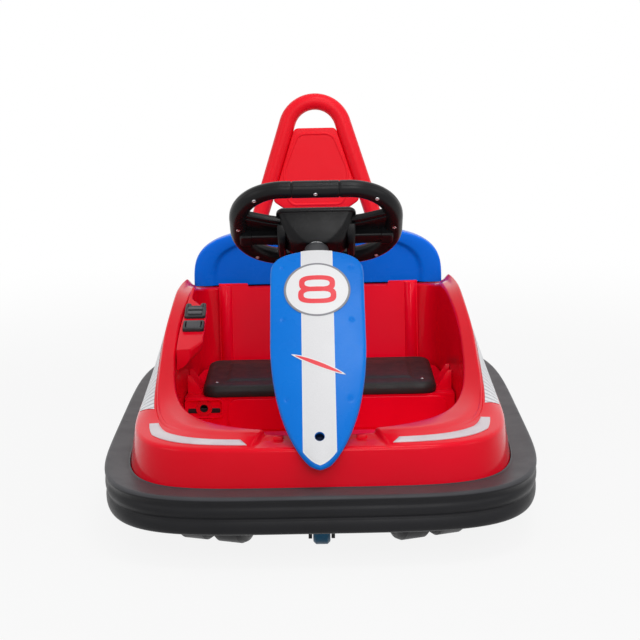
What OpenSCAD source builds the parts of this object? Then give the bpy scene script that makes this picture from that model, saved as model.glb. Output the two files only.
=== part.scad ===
// Child's electric go-kart: a boat-shaped moulded tub in an all-round bumper,
// two swivel casters under the nose and two driven wheels under the tail.
// Millimetres, +Z up, the nose faces -Y and the driver's left is +X.
// The origin lies on the floor under the middle of the bumper.

/* [Bumper ring] */
// Length over the bumper
overall_length = 920; // [840:5:1040]
// Width over the bumper
overall_width = 632; // [570:2:712]
// Height of the bumper's underside above the floor
bumper_clearance = 46; // [42:1:70]
// Height of the bumper's section
bumper_height = 56; // [40:1:70]
// Depth of the bumper's section at the nose and the tail
bumper_depth_ends = 45; // [35:1:60]
// Depth of the bumper's section at the sides
bumper_depth_sides = 30; // [22:1:40]
// Roundness of the bumper's plan: 2 is an ellipse, higher is squarer
bumper_power = 4.6; // [3:0.1:6]
// Roundness of the body's plan
plan_power = 5; // [3:0.1:8]

/* [Body shell] */
// Wall of the moulded shell
wall = 4; // [3:0.5:6]
// Height of the shoulder where the side wall turns inwards
shoulder_z = 152; // [140:1:175]
// How far the shoulder lies inside the foot of the wall
shoulder_inset = 15; // [8:1:24]
// Height of the coaming at the nose
coaming_nose_z = 160; // [152:1:180]
// Height of the coaming beside the backrest
coaming_tail_z = 278; // [240:1:320]
// How far the coaming lies inside the foot of the wall at the sides
coaming_inset_sides = 46; // [36:1:60]
// How far the coaming lies inside the foot of the wall at the nose
coaming_inset_nose = 51; // [40:1:60]
// How far the coaming lies inside the foot of the wall at the tail
coaming_inset_tail = 84; // [60:1:110]
// How far the cockpit's edge lies inside the foot of the wall at the sides
cockpit_inset_sides = 64; // [60:1:80]
// How far the cockpit's edge lies inside the foot of the wall at the nose
cockpit_inset_nose = 70; // [67:1:95]
// How much narrower each side of the cockpit is at the backrest
cockpit_narrowing = 18; // [7:1:30]
// Length of the deck from the backrest's top edge to the foot of the tail
deck_l = 187; // [175:1:205]
// Depth of the pocket in the nose under the fairing
nose_pocket = 7; // [3:0.5:10]

/* [Tub and seat] */
// Height of the footwell's floor
floor_z = 66; // [62:1:80]
// Height of the toe shelf over the casters
toe_shelf_z = 126; // [120:1:140]
// Distance of the toe shelf's end behind the front of the bumper
toe_shelf_setback = 236; // [225:1:260]
// Length of the seat box from its front face to the foot of the backrest
seat_l = 216; // [200:1:240]
// Height of the seat box
seat_z = 125; // [100:1:132]
// Width of the seat pad
pad_w = 376; // [340:1:390]
// Depth of the seat pad from front to back
pad_l = 196; // [170:1:200]
// Thickness of the seat pad
pad_t = 21; // [18:1:40]
// Height of the backrest panel's top corners
backrest_top_z = 266; // [255:1:285]
// Width of the notch in the top of the backrest panel
backrest_notch_w = 244; // [180:1:280]

/* [Tail cowl and headrest] */
// Width of the cowl behind the backrest
cowl_w = 430; // [380:1:436]
// Height of the cowl's top
cowl_top_z = 358; // [330:1:400]
// Length of the cowl from front to back
cowl_l = 88; // [70:1:90]
// Height of the top of the headrest hoop
hoop_top_z = 584; // [520:1:640]
// Thickness of the hoop's tube
hoop_tube = 28; // [20:1:32]
// Radius of the hoop's bow, to the middle of the tube
hoop_bow_r = 50; // [42:1:62]
// Splay of each leg of the hoop
hoop_splay = 17.5; // [8:0.5:22]
// Lean of the hoop to the tail
hoop_lean = 8; // [0:0.5:16]

/* [Steering and fairing] */
// Width of the steering wheel
wheel_w = 264; // [220:1:300]
// Height of the steering wheel in its own plane
wheel_h = 196; // [170:1:230]
// Thickness of the steering wheel's rim
rim_d = 26; // [20:1:30]
// Height of the steering wheel's middle above the floor
wheel_z = 411; // [390:1:430]
// Distance of the steering wheel's middle behind the front of the bumper
wheel_setback = 400; // [370:1:430]
// Slope of the steering column
column_slope = 45; // [38:1:52]
// Diameter of the steering column
column_d = 26; // [20:1:32]
// Diameter of the fixed post that carries the column
post_d = 44; // [36:1:52]
// Width of the fairing
fairing_w = 136; // [110:1:150]
// Length of the fairing along its slope
fairing_l = 363; // [328:1:388]
// Distance from the column's axis to the fairing
fairing_gap = 60; // [54:1:70]
// How far the fairing bows outwards
fairing_bow = 9; // [0:0.5:14]
// Width of the stripe on the fairing
stripe_w = 47; // [30:1:60]
// Diameter of the number disc
disc_d = 96; // [70:1:104]
// Distance of the number disc from the top of the fairing
disc_setback = 27; // [16:1:60]
// Diameter of the hole at the foot of the fairing
fairing_hole_d = 13; // [8:0.5:16]

/* [Casters] */
// Distance of each swivel inside the foot of the wall
caster_inset = 144; // [138:1:158]
// Distance of the swivels behind the front of the bumper
caster_setback = 148; // [142:1:156]
// Radius of a caster wheel
caster_r = 42; // [36:1:46]
// Width over a pair of caster wheels
caster_w = 104; // [70:1:108]
// Trail of the caster's axle behind its swivel
caster_trail = 18; // [12:1:24]
// Turn of the left caster at rest
caster_turn_left = 20; // [-180:1:180]
// Turn of the right caster at rest
caster_turn_right = -20; // [-180:1:180]

/* [Drive] */
// Radius of a driven wheel
drive_r = 72; // [66:1:76]
// Width of a driven wheel
drive_w = 50; // [40:1:54]
// Distance of the middle of each driven wheel inside the foot of the wall
drive_inset = 84; // [80:1:96]
// Distance of the axle ahead of the back of the bumper
axle_setback = 164; // [156:1:172]
// Diameter of the axle
axle_d = 12; // [8:0.5:16]
// Radius of the roller under the nose
roller_r = 22; // [18:1:24]

/* [Hidden] */
$fn = 48;

red = [0.83, 0.03, 0.07];
blue = [0.02, 0.33, 0.75];
white = [0.93, 0.93, 0.94];
black = [0.06, 0.06, 0.065];
grey = [0.30, 0.30, 0.32];
steel = [0.62, 0.63, 0.65];

clear = 0.4;              // gap between neighbours that only sit side by side
run = 0.3;                // gap of a turning fit
plan_y = -60;             // centre of the plan, from which every section is drawn
plan_steps = 80;
beyond = 2 * overall_length;      // reach of a cut that goes right through
front_y = -overall_length / 2;
tail_y = overall_length / 2;
bumper_top = bumper_clearance + bumper_height;
foot_z = 54;
chassis_t = 6;
chassis_top = foot_z + chassis_t;
shelf_t = 4;
nose_plate_top = toe_shelf_z - shelf_t;

// half width, reach to the nose, reach to the tail and roundness of each ring of the plan
bumper_ring = [overall_width / 2, overall_length / 2 + plan_y, overall_length / 2 - plan_y, bumper_power];
foot_ring = [bumper_ring[0] - bumper_depth_sides, bumper_ring[1] - bumper_depth_ends,
    bumper_ring[2] - bumper_depth_ends, plan_power];
shoulder_ring = [foot_ring[0] - shoulder_inset, foot_ring[1] - shoulder_inset,
    foot_ring[2] - 1.4 * shoulder_inset, plan_power];
coaming_ring = [foot_ring[0] - coaming_inset_sides, foot_ring[1] - coaming_inset_nose,
    foot_ring[2] - coaming_inset_tail, 4, plan_power];
cockpit_half_w = foot_ring[0] - cockpit_inset_sides;
cockpit_tail_half_w = cockpit_half_w - cockpit_narrowing;
cockpit_nose_reach = foot_ring[1] - cockpit_inset_nose;
cockpit_tail_reach = foot_ring[2] - deck_l;
cockpit_draft = 4;
backrest_draft = 24;
backrest_top_y = plan_y + cockpit_tail_reach;
backrest_y = backrest_top_y - backrest_draft;
toe_shelf_y = front_y + toe_shelf_setback;
seat_front_y = backrest_y - seat_l;
wheel_y = front_y + wheel_setback;
caster_y = front_y + caster_setback;
caster_x = foot_ring[0] - caster_inset;
drive_x = foot_ring[0] - drive_inset;
drive_y = tail_y - axle_setback;
rise_start = front_y + 160;       // the coaming climbs between these two places
rise_end = backrest_y - 74;
deck_drop = 20;                   // and drops again to the deck behind the backrest
lip_w = 14;                       // width of the lip round the deck
pocket_half_angle = 15.6;

function unit(v) = v / norm(v);
function smooth(a, b, x) = let (t = min(1, max(0, (x - a) / (b - a)))) t * t * (3 - 2 * t);
function reach(phi, ring) = let (c = abs(cos(phi)) / ring[0],
    s = abs(sin(phi)) / (sin(phi) < 0 ? ring[1] : ring[2]),
    power = sin(phi) < 0 || len(ring) < 5 ? ring[3] : ring[4])
    1 / pow(pow(c, power) + pow(s, power), 1 / power);
function at(phi, p) = [p[0] * cos(phi), plan_y + p[0] * sin(phi), p[1]];
function along(phi, r) = plan_y + r * sin(phi);
function outline(ring, inset) = [for (phi = plan_angles) let (r = reach(phi, ring) - inset)
    [r * cos(phi), plan_y + r * sin(phi)]];

// angles of the plan, closed up at both edges of the nose pocket
plan_angles = [for (i = [0:plan_steps - 1]) let (phi = i * 360 / plan_steps, d = phi - 270)
    abs(d) > 12 && abs(d) < 15 ? 270 + sign(d) * (pocket_half_angle - 0.6)
    : abs(d) > 16 && abs(d) < 20 ? 270 + sign(d) * (pocket_half_angle + 0.6) : phi];

// the cockpit's edge: an egg-shaped nose and a squarer tail that narrows to the backrest
function cockpit_ring(phi, draft, tail_draft) = sin(phi) < 0
    ? [cockpit_half_w - draft, cockpit_nose_reach - draft, 1, 2.6]
    : [cockpit_half_w - draft - (cockpit_half_w - cockpit_tail_half_w) * 1.55 * pow(sin(phi), 2),
        1, cockpit_tail_reach - tail_draft, 14];
function coaming_z(y) = coaming_nose_z
    + (coaming_tail_z - coaming_nose_z) * smooth(rise_start, rise_end, y)
    - deck_drop * smooth(backrest_top_y - 16, backrest_top_y + 34, y);
function cockpit_z(y) = coaming_z(min(y, backrest_top_y - 16)) + 3
    - 10 * smooth(rise_start, rise_start + 150, y)
    - 12 * smooth(backrest_top_y - 78, backrest_top_y - 3, y);
deck_z = cockpit_z(backrest_top_y);
function in_pocket(phi) = abs(phi - 270) < pocket_half_angle;

// three points that round the corner b between a and c
function corner(a, b, c, d) = let (u = unit(a - b), v = unit(c - b))
    [b + d * u, b + 0.25 * d * (u + v), b + d * v];

// [radius, height] of the shell's rings at one angle: foot, shoulder, coaming, sill, cockpit edge and
// foot of the tub; the sill is the inner foot of the lip round the deck, and elsewhere halves the coaming
function shell_rings(phi) = let (
        r_edge = reach(phi, cockpit_ring(phi, 0, 0)),
        r_coaming = max(reach(phi, coaming_ring), r_edge + 10),
        r_tub = reach(phi, cockpit_ring(phi, cockpit_draft, backrest_draft)),
        z_coaming = coaming_z(along(phi, r_coaming)) - (in_pocket(phi) ? nose_pocket : 0),
        z_edge = cockpit_z(along(phi, r_edge)),
        deck = smooth(20, 40, r_coaming - r_edge))
    [[reach(phi, foot_ring), foot_z],
     [reach(phi, shoulder_ring), shoulder_z],
     [r_coaming, z_coaming],
     [max((r_edge + r_coaming) / 2, r_coaming - lip_w), z_edge + (1 - deck) * (z_coaming - z_edge) / 2],
     [r_edge, z_edge],
     [r_tub, along(phi, r_tub) < toe_shelf_y ? toe_shelf_z : floor_z]];
function shell_line(phi) = let (k = shell_rings(phi))
    concat([k[0]], corner(k[0], k[1], k[2], 9), corner(k[1], k[2], k[3], 6), [k[3]],
        corner(k[3], k[4], k[5], 4), [k[5]]);

// ring of the outer wall at a height between its foot and its shoulder
function wall_ring(z) = foot_ring + (shoulder_ring - foot_ring) * (z - foot_z) / (shoulder_z - foot_z);

// a line moved to its left by t, mitred at its corners
function moved(line, t) = let (n = len(line), side = [for (i = [0:n - 2])
        let (d = unit(line[i + 1] - line[i])) [-d[1], d[0]]])
    [for (i = [0:n - 1]) let (a = side[max(0, i - 1)], b = side[min(n - 2, i)])
        line[i] + t * (a + b) / (1 + a * b)];
function reversed(list) = [for (i = [len(list) - 1:-1:0]) list[i]];
function flat(lists) = [for (list = lists) each list];

// solid through a row of closed loops; the row itself closes when ring is true,
// and turned cuts each panel along its other diagonal
module loft(loops, ring = false, turned = false) {
    n = len(loops[0]);
    m = len(loops);
    sides = [for (k = [0:m - (ring ? 1 : 2)], i = [0:n - 1]) let (j = (i + 1) % n, l = (k + 1) % m)
        each turned ? [[k * n + i, l * n + i, k * n + j], [l * n + i, l * n + j, k * n + j]]
            : [[k * n + i, l * n + i, l * n + j], [k * n + i, l * n + j, k * n + j]]];
    ends = ring ? [] : [[for (i = [0:n - 1]) i], [for (i = [n - 1:-1:0]) (m - 1) * n + i]];
    polyhedron(points = flat(loops), faces = concat(sides, ends));
}

function rounded(w, h, r, steps = 6) = [for (q = [[1, 1, 0], [-1, 1, 90], [-1, -1, 180], [1, -1, 270]],
    i = [0:steps]) let (a = q[2] + 90 * i / steps)
    [q[0] * (w / 2 - r) + r * cos(a), q[1] * (h / 2 - r) + r * sin(a)]];

// rounded slab with a soft upper edge, its base at z = 0
module slab(w, h, t, r, edge, steps = 6, edge_steps = 4) {
    levels = concat([[0, 0]], [for (i = [0:edge_steps]) let (a = 90 * i / edge_steps)
        [edge * (1 - cos(a)), t - edge * (1 - sin(a))]]);
    loft([for (l = levels) [for (p = rounded(w - 2 * l[0], h - 2 * l[0], max(0.5, r - l[0]), steps))
        [p[0], p[1], l[1]]]]);
}

// places its children in the steering wheel's frame: Z up the column, Y up the wheel's face
module in_column() {
    translate([0, wheel_y, wheel_z]) rotate([90 - column_slope, 0, 180]) children();
}

// Body

keel_x = 30;                      // walls and ribs under the tub stand at multiples of this
rib = 4;
module ahead_of(y) {
    translate([-beyond / 2, y - beyond]) square(beyond);
}
module behind(y) {
    translate([-beyond / 2, y]) square(beyond);
}
module chassis() {
    inset = wall + clear;
    bay = [drive_w + 16, 2 * drive_r + 14, chassis_top + 40];
    color(black) difference() {
        union() {
            translate([0, 0, foot_z]) linear_extrude(chassis_t) intersection() {
                polygon(outline(wall_ring(chassis_top), inset));
                behind(toe_shelf_y - rib);
            }
            translate([0, 0, nose_plate_top - chassis_t]) linear_extrude(chassis_t) intersection() {
                polygon(outline(wall_ring(nose_plate_top), inset));
                ahead_of(toe_shelf_y - rib);
            }
            translate([0, 0, foot_z]) linear_extrude(nose_plate_top - foot_z) intersection() {
                tub_outline(clear);
                behind(toe_shelf_y - rib - 1);
                ahead_of(toe_shelf_y);
            }
            for (s = [-1, 1]) translate([s * keel_x - rib / 2, caster_y - 80, foot_z + 16])
                cube([rib, toe_shelf_y - caster_y + 78, nose_plate_top - foot_z - 18]);
            for (i = [-5:2:5]) translate([i * keel_x - rib / 2, toe_shelf_y - rib, foot_z - rib])
                cube([rib, drive_y - drive_r - 12 - toe_shelf_y, rib + 0.5]);
        }
        for (s = [-1, 1]) translate([s * drive_x - bay[0] / 2, drive_y - bay[1] / 2, 0]) cube(bay);
    }
}

module body_shell() {
    color(red) loft(reversed([for (phi = plan_angles) let (line = shell_line(phi))
        [for (p = concat(line, reversed(moved(line, wall)))) at(phi, p)]]), ring = true);
}

module tub_outline(inset) {
    polygon([for (phi = plan_angles)
        let (r = reach(phi, cockpit_ring(phi, cockpit_draft, backrest_draft)) - inset)
        [r * cos(phi), plan_y + r * sin(phi)]]);
}

module tub_floor() {
    color(red) {
        translate([0, 0, chassis_top]) linear_extrude(floor_z - chassis_top) intersection() {
            tub_outline(clear);
            behind(toe_shelf_y);
        }
        translate([0, 0, toe_shelf_z - shelf_t]) linear_extrude(shelf_t) intersection() {
            tub_outline(clear);
            ahead_of(toe_shelf_y + shelf_t);
        }
        translate([0, 0, chassis_top]) linear_extrude(toe_shelf_z - chassis_top) intersection() {
            tub_outline(clear);
            behind(toe_shelf_y);
            ahead_of(toe_shelf_y + shelf_t);
        }
    }
}

socket_x = -(cockpit_half_w - 36);
socket_z = seat_z - 17;
socket_r = 10;
socket_l = 13;
plug_d = 11;
belt_slot = [9, 30];
module seat_box() {
    color(red) difference() {
        translate([0, 0, floor_z]) linear_extrude(seat_z - floor_z) intersection() {
            tub_outline(clear);
            behind(seat_front_y);
        }
        translate([-pad_w / 2 + 16, seat_front_y + 26, floor_z - 1])
            cube([pad_w - 32, pad_l - 30, seat_z - floor_z - 4]);
        translate([socket_x, seat_front_y - 1, socket_z]) rotate([-90, 0, 0])
            cylinder(r = socket_r, h = socket_l + 2);
        for (s = [-1, 1]) translate([s * (pad_w / 2 + 12) - belt_slot[0] / 2, seat_front_y + 30, seat_z - 16])
            cube([belt_slot[0], belt_slot[1], 20]);
    }
}

module charge_socket() {
    color(black) translate([socket_x, seat_front_y + socket_l, socket_z]) rotate([90, 0, 0]) difference() {
        union() {
            cylinder(r = socket_r - 0.2, h = socket_l);
            translate([0, 0, socket_l]) cylinder(r = socket_r + 3, h = 3);
        }
        translate([0, 0, 3]) cylinder(d = plug_d, h = socket_l + 7);
    }
}

backrest_lean = atan(backrest_draft / (backrest_top_z - floor_z - 6));
pillar_r = 10;
module seat_back() {
    w = 2 * cockpit_tail_half_w - 66;
    foot = (seat_z - floor_z) / cos(backrest_lean) + 1;
    top = (backrest_top_z - floor_z) / cos(backrest_lean);
    notch = backrest_notch_w / 2;
    color(red) translate([0, backrest_y, floor_z]) rotate([90 - backrest_lean, 0, 0]) {
        translate([0, 0, 5]) linear_extrude(4) polygon([[-w / 2, foot], [w / 2, foot], [w / 2, top],
            [notch, top], [notch - 3, top - 8], [-notch + 3, top - 8], [-notch, top], [-w / 2, top]]);
        for (s = [-1, 1]) translate([s * (w / 2 - pillar_r - 2), foot, 8.8]) rotate([-90, 0, 0])
            linear_extrude(top - foot - 3) intersection() {
                circle(pillar_r);
                translate([-pillar_r, -pillar_r]) square([2 * pillar_r, pillar_r]);
            }
    }
}

module seat_pad() {
    color(black) translate([0, seat_front_y - 4 + pad_l / 2, seat_z]) slab(pad_w, pad_l, pad_t, 24, 11);
}

// Cowl and headrest

cowl_z = deck_z + 1.75;
cowl_y = backrest_top_y + 9;
hoop_y = cowl_y + cowl_l * 0.45;

// rows of the cowl: share of its width, share of its height, place along the kart from its face
cowl_rows = [[0.97, 0.965, 0], [0.99, 0.988, 1], [1, 1, 4], [1, 1, 20], [0.985, 0.97, 0.5 * cowl_l],
    [0.95, 0.88, 0.75 * cowl_l], [0.90, 0.74, 0.9 * cowl_l], [0.86, 0.6, cowl_l]];
// rows of the sunk panel in its face, in the same columns
cowl_panel_rows = [[0.84, 0.84, -1], [0.84, 0.84, 0.5], [0.80, 0.80, 6]];
function cowl_arch(row, steps, foot) = [for (i = [0:steps]) let (a = 180 * i / steps, power = 2 / 3.4)
    [sign(cos(a)) * cowl_w / 2 * row[0] * pow(abs(cos(a)), power), cowl_y + row[2],
        cowl_z - foot + (cowl_top_z - cowl_z + foot) * row[1] * pow(sin(a), power)]];
module rear_cowl() {
    color(blue) difference() {
        loft(reversed([for (row = cowl_rows) cowl_arch(row, 24, 0)]));
        loft(reversed([for (row = cowl_panel_rows) cowl_arch(row, 24, 8)]));
        hoop_legs(hoop_tube / 2 + 0.2);
    }
}

// middle of the bow and run of each leg, in the hoop's own upright plane
hoop_foot_z = cowl_top_z - 30;
bow_rise = (hoop_top_z - hoop_tube / 2 - hoop_foot_z) / cos(hoop_lean) - hoop_bow_r;
leg_l = (bow_rise + hoop_bow_r * sin(hoop_splay)) / cos(hoop_splay);
module in_hoop() {
    translate([0, hoop_y, hoop_foot_z]) rotate([90 - hoop_lean, 0, 0]) children();
}
module hoop_legs(r) {
    in_hoop() for (s = [-1, 1]) translate([s * hoop_foot_x, 0, 0]) rotate([-90, 0, s * hoop_splay])
        translate([0, 0, -1]) cylinder(r = r, h = 0.6 * leg_l);
}
// middle line of the hoop from foot to foot, with its direction as an angle
hoop_foot_x = hoop_bow_r * cos(hoop_splay) + leg_l * sin(hoop_splay);
hoop_path = concat([for (i = [0, 1]) let (d = leg_l * (1 - i))
        [hoop_bow_r * cos(hoop_splay) + d * sin(hoop_splay),
            bow_rise + hoop_bow_r * sin(hoop_splay) - d * cos(hoop_splay), hoop_splay]],
    [for (i = [1:15]) let (a = hoop_splay + (180 - 2 * hoop_splay) * i / 16)
        [hoop_bow_r * cos(a), bow_rise + hoop_bow_r * sin(a), a]],
    [for (i = [1, 0]) let (d = leg_l * (1 - i))
        [-hoop_bow_r * cos(hoop_splay) - d * sin(hoop_splay),
            bow_rise + hoop_bow_r * sin(hoop_splay) - d * cos(hoop_splay), 180 - hoop_splay]]);
module headrest_hoop() {
    r = hoop_tube / 2;
    color(red) in_hoop() loft([for (p = hoop_path) [for (i = [0:19]) let (b = -360 * i / 20)
        [p[0] + r * cos(b) * cos(p[2]), p[1] + r * cos(b) * sin(p[2]), r * sin(b)]]]);
}

// inner edge of a leg at a height in the hoop's plane
function hoop_inside(v) = hoop_bow_r * cos(hoop_splay)
    + (bow_rise + hoop_bow_r * sin(hoop_splay) - v) * tan(hoop_splay)
    - (hoop_tube / 2 + clear) / cos(hoop_splay);
panel_top = 4;                          // levels of the panel from the middle of the bow
panel_mid = -72;                        // where its sunk field is widest
panel_web = -118;                       // where the web between panel and legs ends
panel_foot = -131;
panel_foot_w = 108;
panel_t = 16;
panel_rim = 10;
module mirrored_outline(half) {
    polygon(concat(half, [for (p = reversed(half)) [-p[0], p[1]]]));
}
module panel_outline() {
    top = bow_rise + panel_top;
    web = bow_rise + panel_web;
    mirrored_outline([[hoop_inside(top), top], [hoop_inside(web), web],
        [panel_foot_w / 2 + 5, web - 9], [panel_foot_w / 2, bow_rise + panel_foot]]);
}
module panel_field() {
    top = bow_rise + panel_top - panel_rim;
    mid = bow_rise + panel_mid;
    mirrored_outline([[hoop_inside(top) - panel_rim, top], [hoop_inside(mid) - panel_rim, mid],
        [panel_foot_w / 2 - 6, bow_rise + panel_foot + panel_rim]]);
}
module headrest_panel() {
    color(red) in_hoop() difference() {
        translate([0, 0, -panel_t / 2]) linear_extrude(panel_t) panel_outline();
        for (s = [0, 1]) mirror([0, 0, s]) translate([0, 0, panel_t / 2 - 3])
            linear_extrude(panel_t) panel_field();
    }
}

// Steering and fairing

fairing_top = -96;                      // along the column, from the steering wheel's plane
fairing_skin = 3;
fairing_skirt = 11;
fairing_crown = 5;

// half width: an arched top, and a tip drawn in from a little under half way
fairing_arch = 44;
fairing_start = 0.8;
function fairing_half(s) = let (u = max(0, (s / fairing_l - 0.45) / 0.55), t = max(0, 1 - s / fairing_arch))
    fairing_w / 2 * pow(1 - u * u, 0.62) * pow(1 - pow(t, 2.8), 1 / 2.8);
function fairing_out(s) = fairing_gap + fairing_bow * 4 * (s / fairing_l) * (1 - s / fairing_l);

// the skirt grows shallow towards the tip, which hangs in front of the body's wall
function fairing_taper(s) = 1 - 0.7 * smooth(0.72 * fairing_l, 0.95 * fairing_l, s);

// one section across the fairing: its crown from edge to edge, and down to the foot of its skirt
function fairing_section(s, inset, depth) = let (w = fairing_half(s) - inset, steps = 10)
    concat([[-w, -depth]], [for (i = [0:steps]) let (u = -1 + 2 * i / steps)
        [u * (w - 1), fairing_crown * (1 - u * u) - inset]], [[w, -depth]]);
module fairing_solid(rows, inset, depth) {
    loft([for (s = rows) [for (p = fairing_section(s, inset, depth * fairing_taper(s)))
        [p[0], fairing_out(s) + p[1], fairing_top - s]]]);
}
fairing_hole_s = 0.871 * fairing_l;
module fairing_hole(d) {
    translate([0, 0, fairing_top - fairing_hole_s]) rotate([-90, 0, 0])
        cylinder(d = d, h = 3 * fairing_gap);
}
module fairing() {
    upper = [for (i = [1:7]) fairing_arch + (0.5 * fairing_l - fairing_arch) * i / 7];
    top = [for (i = [1:4]) fairing_arch * pow(i / 4, 1.6)];
    lower = [for (i = [1:14]) fairing_l * (0.5 + 0.498 * sin(90 * i / 14))];
    hollow = [for (i = [1:10]) fairing_l * (0.5 + 0.475 * sin(90 * i / 10))];
    color(blue) in_column() difference() {
        fairing_solid(concat([fairing_start], top, upper, lower), 0, fairing_skirt);
        fairing_solid(concat(top, upper, hollow), fairing_skin, fairing_skirt + 40);
        fairing_hole(fairing_hole_d);
    }
}

// a thin layer on the crown of the fairing between two lines along it
function on_fairing(x, s, lift) = let (w = max(2.5, fairing_half(s)) - 1)
    [x, fairing_out(s) + fairing_crown * (1 - pow(x / w, 2)) + lift, fairing_top - s];
layer = 0.7;
module fairing_stripe() {
    rows = [for (i = [0:24]) 3 + (fairing_l * 0.93 - 3) * i / 24];
    color(white) in_column() difference() {
        loft([for (s = rows) let (h = min(stripe_w / 2, fairing_half(s) - 6))
            concat([for (i = [0:6]) on_fairing(-h + 2 * h * i / 6, s, 0.35 + layer)],
                [for (i = [6:-1:0]) on_fairing(-h + 2 * h * i / 6, s, 0.35)])]);
        fairing_hole(fairing_hole_d + 1);
    }
}
module number_disc() {
    s0 = disc_d / 2 + disc_setback;
    r = disc_d / 2;
    color(white) in_column() loft([for (i = [0:16])
        let (a = 180 * i / 16, s = s0 - r * cos(a), h = max(1, r * sin(a)))
        concat([for (j = [0:8]) on_fairing(-h + 2 * h * j / 8, s, 0.65 + 2 * layer)],
            [for (j = [8:-1:0]) on_fairing(-h + 2 * h * j / 8, s, 0.6 + layer)])]);
}

pedestal = [60, 60, 40];
post_foot = -(wheel_z - toe_shelf_z - pedestal[2] - 6) / sin(column_slope);
post_top = -84;
sleeve_l = 60;                    // how deep the column reaches into the post
module steering_post() {
    foot_y = wheel_y + post_foot * cos(column_slope);
    color(black) difference() {
        union() {
            in_column() translate([0, 0, post_foot]) cylinder(d = post_d, h = post_top - post_foot);
            translate([-pedestal[0] / 2, foot_y - pedestal[1] / 2 - 2, toe_shelf_z]) cube(pedestal);
            translate([-pedestal[0] / 2 - 10, foot_y - pedestal[1] / 2 - 2, toe_shelf_z])
                cube([pedestal[0] + 20, pedestal[1] + 10, 6]);
        }
        in_column() translate([0, 0, post_top - sleeve_l])
            cylinder(d = column_d + 2 * run, h = sleeve_l + 20);
    }
}

module fairing_bracket() {
    color(black) in_column() for (s = [0.22, 0.62]) translate([0, 0, fairing_top - s * fairing_l])
        difference() {
            translate([-post_d / 2 + 4, 0, -5])
                cube([post_d - 8, fairing_out(s * fairing_l) + fairing_crown - fairing_skin - 1.6, 10]);
            cylinder(d = post_d + 0.2, h = post_d, center = true);
        }
}

hub_w = 122;
hub_h = 76;
hub_drop = 6;                     // the hub's middle lies this far below the wheel's middle
hub_face = 10;                    // its face to the driver, from the wheel's plane
hub_back = -20;                   // and the end of its block to the column
neck_end = -44;                   // the neck tapers from the block to the column
spoke_d = 17;
spoke_box = [22, 20];
module steering_column() {
    color(grey) in_column() translate([0, 0, post_top - sleeve_l + 2])
        cylinder(d = column_d, h = neck_end - post_top + sleeve_l - 2);
}

module steering_hub() {
    inner = hub_w / 2 - 4;
    outer = wheel_w / 2 - rim_d / 2;
    color(black) in_column() difference() {
        union() {
            translate([0, -hub_drop, hub_back]) slab(hub_w, hub_h, hub_face - hub_back, 14, 8);
            translate([0, -hub_drop, 0]) loft([for (i = [0:5]) let (u = 1 - i / 5, k = pow(1 - u, 1.6))
                [for (p = rounded(52 + (hub_w - 60) * k, 52 + (hub_h - 60) * k, 14 + 8 * u, 4))
                    [p[0], p[1] + u * hub_drop, neck_end + (hub_back + 1 - neck_end) * (1 - u)]]]);
            for (s = [-1, 1]) {
                translate([s * inner, 6, -8]) rotate([0, s * 90, 0])
                    cylinder(d = spoke_d, h = outer - inner);
                translate([s * (outer + inner) / 2, -20, -8])
                    cube([outer - inner, spoke_box[0], spoke_box[1]], center = true);
            }
        }
        rim_solid(rim_d / 2 + 0.2);
    }
}

// the rim's path: a rounded rectangle of true arcs and straight runs
rim_corner = 70;
module rim_solid(r) {
    w = wheel_w / 2 - rim_d / 2;
    h = wheel_h / 2 - rim_d / 2;
    for (q = [[1, 1, 0], [-1, 1, 90], [-1, -1, 180], [1, -1, 270]])
        translate([q[0] * (w - rim_corner), q[1] * (h - rim_corner), 0]) rotate([0, 0, q[2]])
        rotate_extrude(angle = 90) translate([rim_corner, 0]) circle(r);
    for (s = [-1, 1]) {
        translate([-(w - rim_corner), s * h, 0]) rotate([0, 90, 0])
            cylinder(r = r, h = 2 * (w - rim_corner));
        translate([s * w, -(h - rim_corner), 0]) rotate([-90, 0, 0])
            cylinder(r = r, h = 2 * (h - rim_corner));
    }
}
module steering_rim() {
    color(black) in_column() rim_solid(rim_d / 2);
}

// Controls, lamps and flashes

// point on the shell between its shoulder and its coaming, lifted off the surface
function on_side(phi, share, lift) = let (k = shell_rings(phi), d = unit(k[2] - k[1]), n = [d[1], -d[0]])
    at(phi, k[1] + share * (k[2] - k[1]) + lift * n);
function between(a, b) = concat([a], [for (turn = [0, 360], phi = plan_angles)
    if (phi + turn > a + 0.5 && phi + turn < b - 0.5) phi + turn], [b]);

module side_layer(angles, low, high, thick) {
    lift = 0.8;
    loft([for (phi = angles) [on_side(phi, high, lift), on_side(phi, high, lift + thick),
        on_side(phi, low, lift + thick), on_side(phi, low, lift)]], turned = true);
}

// each lamp strip and each flash is set by the angle of its middle from the nose and by its spread
strip_mid = 32;
strip_spread = 32;
module light_strip(middle) {
    color(white) side_layer(between(middle - strip_spread / 2, middle + strip_spread / 2), 0.26, 0.72, 4);
}
module light_strip_left() light_strip(270 + strip_mid);
module light_strip_right() light_strip(270 - strip_mid);

flash_mid = 99;
flash_spread = 62;
module side_flash(middle) {
    color(white) side_layer(between(middle - flash_spread / 2, middle + flash_spread / 2), 0.2, 0.62, 0.9);
}
module side_flash_left() side_flash(270 + flash_mid);
module side_flash_right() side_flash(270 - flash_mid);

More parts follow.
